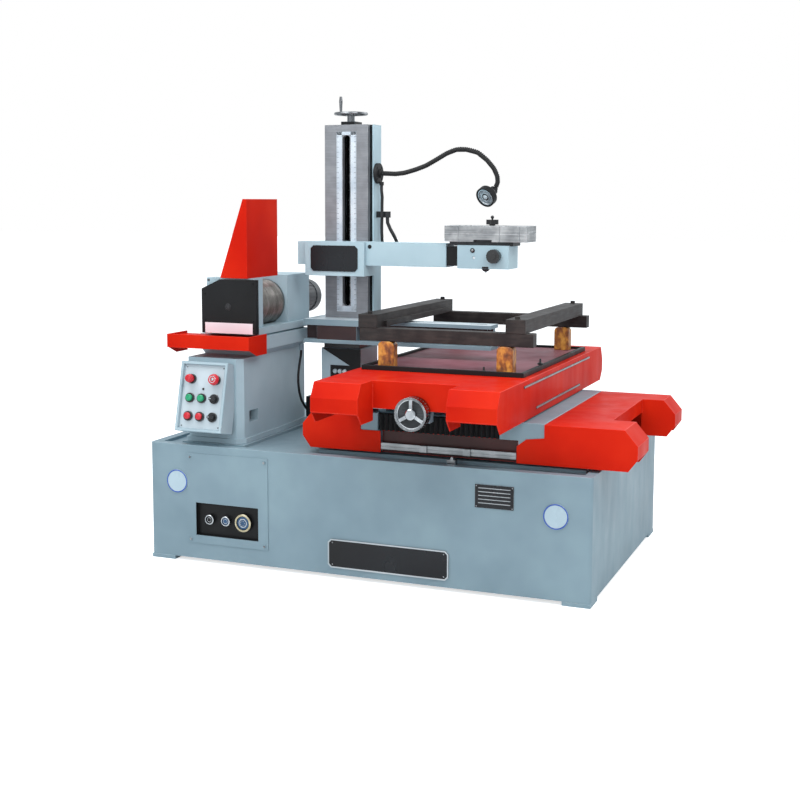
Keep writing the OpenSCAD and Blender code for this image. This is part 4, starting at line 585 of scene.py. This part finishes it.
# ---------------------------------------------------------------- small fittings
def facing(place, direction):
    """A frame at a place whose Z looks along a direction."""
    return Matrix.Translation(place) @ Vector(direction).to_track_quat("Z", "Y").to_matrix().to_4x4()


def lathe(copy, stand, profile, finish=0, closed=False, sides=40):
    """Turns a profile of radii and heights, in millimetres, round the Z of a frame."""
    rings = []
    for radius, height in profile:
        angles = [0] if radius == 0 else [math.tau * k / sides for k in range(sides)]
        rings.append([copy.verts.new(stand @ (Vector((radius * math.cos(a), radius * math.sin(a),
                                                      height)) * MM))
                      for a in angles])
    pairs = list(zip(rings, rings[1:] + rings[:1])) if closed else list(zip(rings, rings[1:]))
    for low, high in pairs:
        for k in range(sides):
            corners = []
            for corner in (low[k % len(low)], low[(k + 1) % len(low)],
                           high[(k + 1) % len(high)], high[k % len(high)]):
                if corner not in corners:
                    corners.append(corner)
            copy.faces.new(corners).material_index = finish


def bar(copy, stand, low, high, finish=0):
    """A block between two corners, in millimetres, in a frame."""
    corners = [copy.verts.new(stand @ (Vector((x, y, z)) * MM))
               for x in (low[0], high[0]) for y in (low[1], high[1]) for z in (low[2], high[2])]
    for face in ((0, 1, 3, 2), (4, 6, 7, 5), (0, 4, 5, 1), (2, 3, 7, 6), (0, 2, 6, 4), (1, 5, 7, 3)):
        copy.faces.new([corners[i] for i in face]).material_index = finish


def fitting(name, host, finishes, build, radius_mm=0.3):
    """A small piece that rides with a CAD node."""
    copy = bmesh.new()
    build(copy)
    for face in copy.faces:
        face.smooth = True
    mesh = bpy.data.meshes.new(name)
    copy.to_mesh(mesh)
    copy.free()
    mesh.set_sharp_from_angle(angle=SHARP)
    piece = new_piece(name, mesh, finishes, BODIES[host])
    round_edges(piece, radius_mm, 0, 1)
    return piece


BED = Matrix.Translation(BED_CORNER)
BOX = BED @ Matrix.Translation(Vector((118, -20, 485)) * MM) @ Matrix.Rotation(math.radians(-13.4), 4, "X")
BOX_SIZE = (197, 262)
PLATE_IN = 12
COLUMNS = (0.24, 0.49, 0.76)
ROWS = (0.75, 0.48, 0.22)
CAP_TOP = 15         # face of a plunger above the control plate
MUSHROOM_TOP = 33    # face of a mushroom button above it
DRUM_X, DRUM_Z = 256, 937       # the drum's axis, from the bed's corner
X_SCREW_Y, X_SCREW_Z = 605, 505     # the X screw's axis
COLUMN_X = 558
FAN_BACK_Y = 831     # rear face of the drum motor
SOCKET_Z = 152


def on_button(column, row):
    """The frame of a button, with Z out of the control plate."""
    place = Vector((BOX_SIZE[0] * COLUMNS[column], PLATE_IN, BOX_SIZE[1] * ROWS[row])) * MM
    return BOX @ Matrix.Translation(place) @ Matrix.Rotation(math.radians(90), 4, "X")


def build_bezels(copy):
    for column, row in ((0, 0), (2, 0), (0, 1), (1, 1), (2, 1), (0, 2), (1, 2), (2, 2)):
        stand = on_button(column, row)
        lathe(copy, stand, ((17.8, 0.2), (17.8, 9.2), (16.6, 10.2), (13.6, 10.2), (13.2, 9.4), (13.2, 0.2)),
              0, True)
        lathe(copy, stand, ((18.6, 0.1), (18.6, 1.8), (17.6, 2.2), (17.6, 0.1)), 1, True)
    lamp = BOX @ Matrix.Translation(Vector((98, PLATE_IN, 161)) * MM) @ Matrix.Rotation(math.radians(90), 4,
                                                                                        "X")
    lathe(copy, lamp, ((0, -1), (4.5, -1), (4.5, 1.6), (3.2, 2.8), (0, 3.4)), 0)


def dome(radius, foot, rise):
    return ((0, foot), (radius, foot), (radius, foot + rise * 0.35), (radius * 0.86, foot + rise * 0.75),
            (radius * 0.5, foot + rise), (0, foot + rise * 1.06))


def add_caps():
    for host, column, row, finish in (("green_button_1", 0, 1, "green_cap"), ("green_button_2", 1, 1,
                                                                              "green_cap"),
                                      ("red_button_1", 0, 2, "red_cap"), ("red_button_2", 1, 2, "red_cap")):
        fitting(host + "_cap", host, (finish,),
                lambda copy: lathe(copy, on_button(column, row), dome(12.6, CAP_TOP - 0.2, 4.2)))
    fitting("pause_button_cap", "pause_button", ("red_cap",),
            lambda copy: lathe(copy, on_button(0, 0), dome(13.0, MUSHROOM_TOP - 0.2, 3.6)))
    fitting("e_stop_disc", "e_stop", ("chrome", "line"), build_stop_disc)
    for host, row in (("selector_1", 1), ("selector_2", 2)):
        fitting(host + "_mark", host, ("line",),
                lambda copy: bar(copy, on_button(2, row), (-12, -1.3, 23.8), (-3, 1.3, 24.5)))


def build_stop_disc(copy):
    stand = on_button(2, 0)
    lathe(copy, stand, dome(6.0, MUSHROOM_TOP - 0.2, 2.2), 0)
    lathe(copy, stand, ((13.0, MUSHROOM_TOP - 0.2), (13.0, MUSHROOM_TOP + 0.5), (10.4, MUSHROOM_TOP + 0.5),
                        (10.4, MUSHROOM_TOP - 0.2)), 1, True)


def build_sockets(copy):
    """Three round sockets: threaded ring, insert and, in the large one, seven pins."""
    for x, radius, ring, core in ((250.0, 18, 0, 1), (318.1, 18, 0, 2), (391.5, 33, 3, 2)):
        stand = facing(on_bed(x, 2, SOCKET_Z), (0, -1, 0))
        lathe(copy, stand, ((radius + 0.6, -1), (radius + 0.6, 3.0), (radius - 0.8, 4.2), (radius * 0.8, 4.2),
                            (radius * 0.76, -1)), ring, True)
        lathe(copy, stand, ((0, -5), (radius * 0.72, -5), (radius * 0.72, 0.6), (radius * 0.62, 1.4), (0, 1.4)), core)
        lathe(copy, stand, ((radius * 0.5, 1.2), (radius * 0.5, 2.6), (radius * 0.42, 2.6), (radius * 0.42, 1.2)),
              0, True)
    for k in range(7):
        turn = math.tau * k / 7
        place = on_bed(391.5 + 9 * math.cos(turn), 2, SOCKET_Z + 9 * math.sin(turn))
        lathe(copy, facing(place, (0, -1, 0)), ((0, 1), (1.6, 1), (1.6, 4.4), (0, 5)), 0, sides=12)


def build_scale_bridges(copy):
    """The short strips that join the two scales round the slot's ends."""
    bar(copy, BED, (515.5, 568.8, 897.2), (600.5, 570.2, 919.5))
    bar(copy, BED, (515.5, 568.8, 1591.6), (600.5, 570.2, 1604.8))


def build_arm_button(copy):
    lathe(copy, facing(on_bed(700, 470, 1160), (0, -1, 0)), ((0, -2), (8, -2), (8, 1.2), (6, 2.4), (0, 2.4)))


def build_head_fittings(copy):
    """Lock screw in a black collar, the slot plate and the wire guide under the head."""
    stand = facing(on_bed(1122, 455, 1153), (0, -1, 0))
    lathe(copy, stand, ((9, -1), (9, 1.6), (5.6, 2.0), (5.6, -1)), 1, True, 24)
    lathe(copy, stand, dome(5.4, -1, 4.4), 0, sides=24)
    bar(copy, BED, (1160, 452.8, 1086), (1184, 456, 1094), 1)
    guide = facing(on_bed(1155, 514, 1086), (0, 0, -1))
    lathe(copy, guide, ((0, -1), (16, -1), (16, 5), (11, 9), (11, 12), (0, 12)), 1)
    lathe(copy, guide, ((0, 11), (5, 11), (4, 17), (0, 17)), 0, sides=24)


LAMP_AT = (1142, 660, 1382)
LAMP_TILT = math.radians(118)
LAMP_YAW = math.radians(250)


def build_lamp_glass(copy):
    axis = (math.sin(LAMP_TILT) * math.cos(LAMP_YAW), math.sin(LAMP_TILT) * math.sin(LAMP_YAW),
            math.cos(LAMP_TILT))
    stand = facing(on_bed(*LAMP_AT), axis)
    lathe(copy, stand, ((33.6, 66), (33.6, 69.5), (29.5, 69.5), (27.5, 67.4), (27.5, 66)), 0, True)
    lathe(copy, stand, ((0, 66), (28, 66), (28, 67.6), (12, 66.9), (0, 66.9)), 1)
    lathe(copy, stand, ((18, 66.8), (18, 68.2), (15.5, 68.2), (15.5, 66.8)), 0, True)
    lathe(copy, stand, dome(9.5, 66.6, 4.0), 2)


def build_screw_end(copy):
    lathe(copy, facing(on_bed(1617, X_SCREW_Y, X_SCREW_Z), (1, 0, 0)), ((0, -2), (9, -2), (9, 56), (7.6, 58), (0, 58)), 0)


def build_tray_cones(copy):
    for x, y, z in ((152, -334, PAN_RIM + PAN_FLOOR), (290, -95, PAN_RIM)):
        lathe(copy, facing(on_table(x, y, z), (0, 0, 1)), ((0, -1), (11, -1), (11, 4), (4, 8), (3, 20), (0, 21)), 0,
              sides=24)


def build_gear_cap(copy):
    lathe(copy, facing(on_bed(DRUM_X, 150, DRUM_Z), (0, -1, 0)), ((0, -1), (9, -1), (9, 1.6), (7, 2.6), (0, 2.6)), 0)
    lathe(copy, facing(on_bed(DRUM_X, 150, DRUM_Z), (0, -1, 0)), ((13, -1), (13, 0.8), (9.6, 0.8), (9.6, -1)), 0, True)


def build_wheel_spokes(copy):
    """Hub and three spokes over the wheel's dished face."""
    points = cad_points("y_wheel")
    middle = (min(p.z for p in points) + max(p.z for p in points)) / 2
    centre = Vector((TABLE_MIDDLE.x, TABLE_MIDDLE.y + WHEEL_FACE * MM, middle))
    stand = facing(centre, (0, -1, 0))
    lathe(copy, stand, ((0, -7), (19, -7), (19, 1), (15, 4), (6, 4), (0, 3)), 0)
    lathe(copy, stand, ((52, -7.5), (52, -4.5), (47, -6), (47, -7.5)), 0, True)
    for k in range(3):
        spoke = stand @ Matrix.Rotation(math.tau * (k / 3 + 0.25), 4, "Z")
        bar(copy, spoke, (16, -6, -7.4), (50.5, 6, -3.4), 0)


def add_fittings():
    fitting("button_bezels", "control_plate", ("bakelite", "dark_chrome"), build_bezels)
    add_caps()
    fitting("socket_inserts", "socket_panel", ("chrome", "black", "blue_cap", "gilt"), build_sockets, 0.2)
    fitting("scale_bridges", "scale_strips", ("scale",), build_scale_bridges, 0.2)
    fitting("arm_button", "upper_arm", ("black",), build_arm_button)
    fitting("head_fittings", "head_box", ("dark_chrome", "black"), build_head_fittings)
    fitting("lamp_glass", "lamp_head", ("chrome", "lens", "plate"), build_lamp_glass, 0.2)
    fitting("screw_end", "x_ways", ("chrome",), build_screw_end)
    fitting("tray_cones", "work_tray", ("bakelite",), build_tray_cones)
    fitting("gear_cover_cap", "gear_cover", ("bakelite",), build_gear_cap)
    fitting("wheel_spokes", "y_wheel", ("chrome",), build_wheel_spokes, 0.5)


# ---------------------------------------------------------------- repeated things, grown by node groups
def scatter_tree(name, inputs, shape_of, spin=False):
    """A node group that stands one small shape on each point, turned as the point's attribute says."""
    tree = bpy.data.node_groups.new(name, "GeometryNodeTree")
    tree.interface.new_socket("Points", in_out="INPUT", socket_type="NodeSocketGeometry")
    for label, value in inputs:
        kind = "NodeSocketInt" if isinstance(value, int) else "NodeSocketFloat"
        tree.interface.new_socket(label, in_out="INPUT", socket_type=kind).default_value = value
    tree.interface.new_socket("Finish", in_out="INPUT", socket_type="NodeSocketMaterial")
    tree.interface.new_socket("Geometry", in_out="OUTPUT", socket_type="NodeSocketGeometry")
    start = add(tree, "NodeGroupInput").outputs
    turn = add(tree, "GeometryNodeInputNamedAttribute", {"Name": "turn"}, data_type="FLOAT_VECTOR")
    copies = add(tree, "GeometryNodeInstanceOnPoints", {"Points": start["Points"],
                                                        "Instance": shape_of(tree, start),
                                                        "Rotation": turn.outputs["Attribute"]}).outputs[0]
    if spin:
        angle = add(tree, "FunctionNodeRandomValue", {0: (0, 0, 0), 1: (0, 0, math.tau),
                                                      "Seed": start["Seed"]},
                    data_type="FLOAT_VECTOR").outputs[0]
        copies = add(tree, "GeometryNodeRotateInstances", {"Instances": copies, "Rotation": angle,
                                                           "Local Space": True}).outputs[0]
    solid = add(tree, "GeometryNodeRealizeInstances", {"Geometry": copies}).outputs[0]
    dressed = add(tree, "GeometryNodeSetMaterial", {"Geometry": solid,
                                                    "Material": start["Finish"]}).outputs[0]
    add(tree, "NodeGroupOutput", {"Geometry": dressed})
    return tree


def screw_shape(tree, start):
    """A round head with a hexagon standing in it, as a cap screw reads from a step away."""
    head = add(tree, "GeometryNodeMeshCone", {"Vertices": 20, "Radius Top": start["Crown"],
                                              "Radius Bottom": start["Radius"], "Depth": start["Height"]}).outputs[0]
    key = add(tree, "GeometryNodeMeshCylinder", {"Vertices": 6, "Radius": start["Key"],
                                                 "Depth": start["Reach"]}).outputs[0]
    both = add(tree, "GeometryNodeJoinGeometry", {"Geometry": head})
    tree.links.new(key, both.inputs[0])
    return both.outputs[0]


def ring_shape(tree, start):
    loop = add(tree, "GeometryNodeCurvePrimitiveCircle", {"Resolution": 48,
                                                          "Radius": start["Radius"]}).outputs[0]
    wire = add(tree, "GeometryNodeCurvePrimitiveCircle", {"Resolution": 6,
                                                          "Radius": start["Wire"]}).outputs[0]
    ring = add(tree, "GeometryNodeCurveToMesh", {"Curve": loop, "Profile Curve": wire}).outputs[0]
    return add(tree, "GeometryNodeSetShadeSmooth", {0: ring}).outputs[0]


def thread_shape(tree, start):
    coil = add(tree, "GeometryNodeCurveSpiral", {"Resolution": 24, "Rotations": start["Turns"],
                                                 "Start Radius": start["Radius"], "End Radius": start["Radius"],
                                                 "Height": start["Length"]}).outputs[0]
    crest = add(tree, "GeometryNodeCurvePrimitiveCircle", {"Resolution": 5,
                                                           "Radius": start["Crest"]}).outputs[0]
    ridge = add(tree, "GeometryNodeCurveToMesh", {"Curve": coil, "Profile Curve": crest,
                                                  "Fill Caps": True}).outputs[0]
    return add(tree, "GeometryNodeSetShadeSmooth", {0: ridge}).outputs[0]


def tick_shape(tree, start):
    size = add(tree, "ShaderNodeCombineXYZ", {"X": start["Width"], "Y": start["Depth"], "Z": start["Height"]})
    return add(tree, "GeometryNodeMeshCube", {"Size": size.outputs[0]}).outputs[0]


SCREWS = scatter_tree("screw_heads", (("Radius", 0.004), ("Crown", 0.0034), ("Height", 0.002), ("Key", 0.0018),
                                      ("Reach", 0.005), ("Seed", 7)), screw_shape, True)
RINGS = scatter_tree("wire_rings", (("Radius", 0.09), ("Wire", 0.001)), ring_shape)
THREADS = scatter_tree("screw_threads", (("Radius", 0.012), ("Crest", 0.0006), ("Turns", 100.0), ("Length", 0.5)),
                       thread_shape)
TICKS = scatter_tree("scale_ticks", (("Width", 0.008), ("Depth", 0.0006), ("Height", 0.002)), tick_shape)


def grow(name, tree, host, finish, stands, **values):
    """Runs a node group on points, each a place and a direction, and keeps the result as one mesh."""
    points = bpy.data.meshes.new(name + "_points")
    points.from_pydata([tuple(place) for place, _ in stands], [], [])
    turns = points.attributes.new("turn", "FLOAT_VECTOR", "POINT")
    for item, (_, direction) in zip(turns.data, stands):
        item.vector = Vector(direction).to_track_quat("Z", "Y").to_euler()
    holder = bpy.data.objects.new(name + "_points", points)
    bpy.context.scene.collection.objects.link(holder)
    group = holder.modifiers.new("grow", "NODES")
    group.node_group = tree
    sockets = {item.name: item.identifier for item in tree.interface.items_tree if item.in_out == "INPUT"}
    for label, value in values.items():
        group[sockets[label]] = value
    group[sockets["Finish"]] = FINISHES[finish]
    mesh = bpy.data.meshes.new_from_object(holder.evaluated_get(bpy.context.evaluated_depsgraph_get()))
    holder.modifiers.clear()
    bpy.data.objects.remove(holder)
    return new_piece(name, mesh, (finish,), BODIES[host])


NECK = [
    (688, 622, 1443), (712, 626, 1442), (740, 636, 1441), (772, 647, 1445), (814, 656, 1457), (858, 660, 1473),
    (902, 660, 1496), (944, 660, 1519), (984, 660, 1533), (1024, 660, 1533), (1070, 660, 1521), (1108, 660, 1492),
    (1136, 660, 1460), (1150, 660, 1430), (1152, 660, 1408), (1146, 660, 1392),
]
UP, OUT = (0, 0, 1), (0, -1, 0)


def grow_details():
    grow("wire_winding", RINGS, "wire_drum", "drum", [(on_bed(DRUM_X, 252 + 2.0 * k, DRUM_Z),
                                                       OUT) for k in range(89)],
         Radius=90 * MM, Wire=0.9 * MM)
    route = smooth_route([on_bed(*p) for p in NECK], 12)
    ribs = []
    travelled = 0.0
    for a, b in zip(route, route[1:]):
        travelled += (b - a).length
        if travelled > 5.5 * MM:
            travelled = 0.0
            ribs.append((b, b - a))
    grow("gooseneck_ribs", RINGS, "gooseneck", "rubber", ribs, Radius=8.6 * MM, Wire=1.3 * MM)
    grow("fan_grille", RINGS, "drum_motor", "motor", [(on_bed(DRUM_X, FAN_BACK_Y, DRUM_Z), OUT)],
         Radius=52 * MM, Wire=2.0 * MM)
    grow("fan_grille_inner", RINGS, "drum_motor", "motor", [(on_bed(DRUM_X, FAN_BACK_Y, DRUM_Z), OUT)],
         Radius=34 * MM,
         Wire=2.0 * MM)
    grow("x_screw_thread", THREADS, "x_screw", "steel", [(on_bed(466, X_SCREW_Y, X_SCREW_Z), (1, 0, 0))],
         Radius=12.1 * MM,
         Crest=0.6 * MM, Turns=224.0, Length=1120 * MM)
    grow("column_screw_thread", THREADS, "column_screw", "dark_chrome", [(on_bed(COLUMN_X, 615, 890), UP)],
         Radius=10.6 * MM, Crest=0.6 * MM, Turns=148.0, Length=740 * MM)
    long_ticks = [(on_bed(COLUMN_X + side * 37.5, 568.6, 905 + 20 * k), UP) for side in (-1,
                                                                                         1) for k in range(35)]
    short_ticks = [(on_bed(COLUMN_X + side * 39.5, 568.6, 905 + 4 * k), UP) for side in (-1,
                                                                                         1) for k in range(173)]
    grow("long_scale_ticks", TICKS, "scale_strips", "tick", long_ticks, Width=9 * MM, Depth=0.5 * MM,
         Height=2.4 * MM)
    grow("short_scale_ticks", TICKS, "scale_strips", "tick", short_ticks, Width=5 * MM, Depth=0.5 * MM,
         Height=0.8 * MM)
    box_out = BOX.to_3x3() @ Vector(OUT)
    corners = [(BOX @ (Vector((x, PLATE_IN, z)) * MM), box_out) for x in (21, 176) for z in (21, 241)]
    grow("plate_screws", SCREWS, "control_plate", "dark_chrome", corners, Radius=2.8 * MM, Crown=2.2 * MM,
         Height=1.4 * MM, Key=1.2 * MM, Reach=3.4 * MM)
    cover = [(on_bed(x, 150, z), OUT) for x, z in ((157, 884), (361, 884), (157, 985), (361, 1026))]
    grow("gear_cover_screws", SCREWS, "gear_cover", "black", cover)
    rivets = [(on_bed(x, -3, z), OUT) for x, z in ((1297, 301), (1425, 301), (1297, 372), (1425, 372),
                                                   (756, 38), (1180, 38), (756, 118), (1180, 118))]
    grow("plate_rivets", SCREWS, "name_plates", "rail", rivets, Radius=2.2 * MM, Crown=1.4 * MM,
         Height=1.0 * MM,
         Key=0.8 * MM, Reach=2.2 * MM)
    panel = [(on_bed(x, -7, z), OUT) for x in (174, 483) for z in (74, 386)]
    grow("panel_screws", SCREWS, "access_panel", "dark_chrome", panel, Radius=4.6 * MM, Crown=4.0 * MM,
         Height=1.2 * MM, Key=2.4 * MM, Reach=3.4 * MM)
    disc = [(on_bed(678, 622 + 31 * math.cos(a), 1443 + 31 * math.sin(a)), (1, 0, 0))
            for a in (math.tau * (k + 0.5) / 4 for k in range(4))]
    grow("lamp_disc_screws", SCREWS, "gooseneck", "black", disc)
    slide_top = max(point.z for point in cad_points("u_slide"))
    along = [(Vector((on_bed(x, 0, 0).x, on_bed(0, 458, 0).y, slide_top)), UP) for x in (1070, 1092, 1114,
                                                                                         1250)]
    grow("slide_screws", SCREWS, "u_slide", "black", along, Radius=3.4 * MM, Crown=3 * MM, Height=1 * MM,
         Key=1.6 * MM, Reach=2.6 * MM)
    bracket = [(on_bed(x, 172, 1036), OUT) for x in (162, 350)]
    grow("bracket_screws", SCREWS, "drum_carriage", "dark_chrome", bracket, Radius=5 * MM, Crown=4.4 * MM,
         Height=3 * MM, Key=2.4 * MM, Reach=7 * MM)


lay_tower_cable()
for node in COATS:
    coat(node)
add_fittings()
grow_details()
set_studio()
